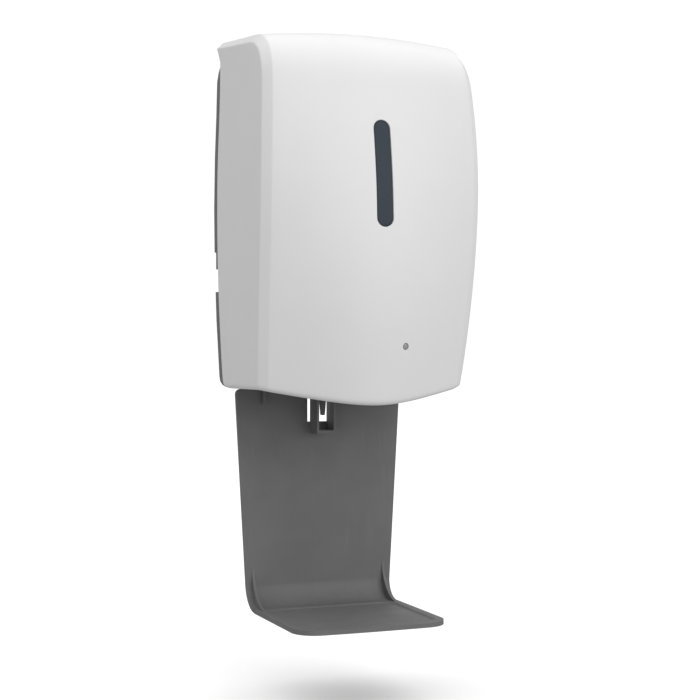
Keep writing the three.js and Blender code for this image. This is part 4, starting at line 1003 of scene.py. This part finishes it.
def board_parts():
    """The chip, capacitors and small resistors on the main board."""
    front = BOARD_FRONT
    chip = block("board_chip", (-48, -38), (front - 1.7, front), (-106, -96))
    softened(chip, 0.2)
    cut(chip, rod("dot", "y", (-46.4, -97.6), 0.5, (front - 3, front - 1.5), 16))
    detail(chip, "frame", "black_moulding")
    for row in (0, 1):
        for i in range(8):
            x = -47.2 + 1.2 * i
            z = -106.8 if row else -95.2
            leg = block(f"chip_leg_{row}_{i}", (x, x + 0.5), (front - 0.5, front + 0.02), (z - 0.9, z + 0.9))
            detail(leg, "frame", "nickel")
    for i, (x, z) in enumerate(((-30, -105), (-52.5, -114))):
        can = turned(f"board_capacitor_{i}", "y", (x, z), [
            (0, front), (2.6, front), (2.6, front - 0.6), (2.4, front - 0.9), (2.6, front - 1.2),
            (2.6, front - 5.6), (2.2, front - 6), (1.9, front - 5.9), (0, front - 5.9)])
        detail(can, "frame", "nickel")
    for i in range(5):
        x = -36 + 3.6 * i
        resistor = block(f"board_resistor_{i}", (x, x + 2), (front - 0.6, front + 0.02), (-111, -109.8))
        softened(resistor, 0.12)
        detail(resistor, "frame", "black_moulding")


def plain_mouldings():
    """The pieces that keep the shapes they have in the model, with rounded edges."""
    widths = {"back_plate": 0.4, "pump_chassis": 0.4, "base_panel": 0.4, "sensor_window": 0.25,
              "lock_strike": 0.25, "battery_box": 0.4, "battery_contact_left": 0.1,
              "battery_contact_right": 0.1, "sensor_board": 0.1, "indicator_board": 0.1,
              "main_board": 0.1, "board_connector": 0.25, "power_switch_body": 0.2,
              "power_switch_slider": 0.2}
    for node, width in widths.items():
        refined(node, width)


# ------------------------------------------------------------------ studio


def aimed(obj, direction):
    obj.rotation_euler = Vector(direction).to_track_quat("-Z", "Y").to_euler()


def sun(name, dims):
    """A distant light; its softness is the angle that it fills, in degrees."""
    light = bpy.data.lights.new(name, "SUN")
    light.energy = dims.strength
    light.angle = math.radians(dims.softness)
    obj = bpy.data.objects.new(name, light)
    bpy.context.scene.collection.objects.link(obj)
    aimed(obj, dims.direction)


def light_path(tree, camera_value, other_value):
    """A value that is one thing where the camera looks and another where light bounces."""
    seen = tree.nodes.new("ShaderNodeLightPath")
    pick = tree.nodes.new("ShaderNodeMapRange")
    pick.inputs["To Min"].default_value = other_value
    pick.inputs["To Max"].default_value = camera_value
    tree.links.new(seen.outputs["Is Camera Ray"], pick.inputs["Value"])
    return pick.outputs["Result"]


def floor_paper():
    """Pale paper that bounces little light back and isn't there from below."""
    paper = Nodes("floor_paper")
    shade = paper.spread(paper.noise(90, 2), 0.96, 0.98)
    dim = paper.add("ShaderNodeMath", operation="MULTIPLY")
    paper.link(shade, dim.inputs[0])
    paper.link(light_path(paper.tree, 1.0, STUDIO.floor_bounce), dim.inputs[1])
    paper.link(dim.outputs["Value"], paper.shader.inputs["Base Color"])
    paper.shader.inputs["Roughness"].default_value = 0.9
    paper.shader.inputs["Specular IOR Level"].default_value = 0.1
    paper.shader.inputs["Emission Color"].default_value = (1, 1, 1, 1)
    paper.link(light_path(paper.tree, STUDIO.floor_glow, 0), paper.shader.inputs["Emission Strength"])
    clear = paper.add("ShaderNodeBsdfTransparent")
    side = paper.add("ShaderNodeNewGeometry")
    mix = paper.add("ShaderNodeMixShader")
    paper.link(side.outputs["Backfacing"], mix.inputs["Fac"])
    paper.link(paper.shader.outputs["BSDF"], mix.inputs[1])
    paper.link(clear.outputs["BSDF"], mix.inputs[2])
    paper.link(mix.outputs["Shader"], paper.tree.nodes["Material Output"].inputs["Surface"])
    return paper.material


def studio():
    """The floor, the white surroundings and the two soft lights."""
    reach, z = STUDIO.floor_reach, STUDIO.floor_z
    floor = mesh_object("floor", [(-reach, -reach, z), (reach, -reach, z), (reach, reach, z),
                                  (-reach, reach, z)], [(0, 1, 2, 3)])
    floor.data.materials.append(floor_paper())
    world = bpy.data.worlds.new("studio")
    bpy.context.scene.world = world
    world.use_nodes = True
    background = world.node_tree.nodes["Background"]
    background.inputs["Color"].default_value = (1, 1, 1, 1)
    world.node_tree.links.new(
        light_path(world.node_tree, STUDIO.backdrop, STUDIO.ambient), background.inputs["Strength"])
    sun("overhead", OVERHEAD)
    sun("key", KEY)


def camera():
    data = bpy.data.cameras.new("camera")
    data.sensor_width = CAMERA.sensor
    data.lens = CAMERA.lens
    data.shift_y = CAMERA.shift_y
    obj = bpy.data.objects.new("camera", data)
    bpy.context.scene.collection.objects.link(obj)
    obj.location = [c * MM for c in CAMERA.place]
    aimed(obj, CAMERA.look)
    bpy.context.scene.camera = obj
    bpy.context.scene.view_settings.view_transform = "Standard"


# ------------------------------------------------------------------ the scene

camera()
studio()
cover, COVER_TREE = cover_shell()
front_cover(cover)
viewing_window()
indicator_lens()
lock_parts()
drip_tray()
reservoir()
reservoir_cap()
soap_path()
drive()
cells()
hinge_pins()
diodes()
board_parts()
plain_mouldings()
for screw in range(1, 5):
    pan_screw(f"chassis_screw_{screw}", "y", -1)
for screw in (1, 2):
    pan_screw(f"base_screw_{screw}", "z", -1)
    pan_screw(f"pump_screw_{screw}", "y", -1, head=2.4)
pan_screw("strike_screw", "y", -1, head=2.6)
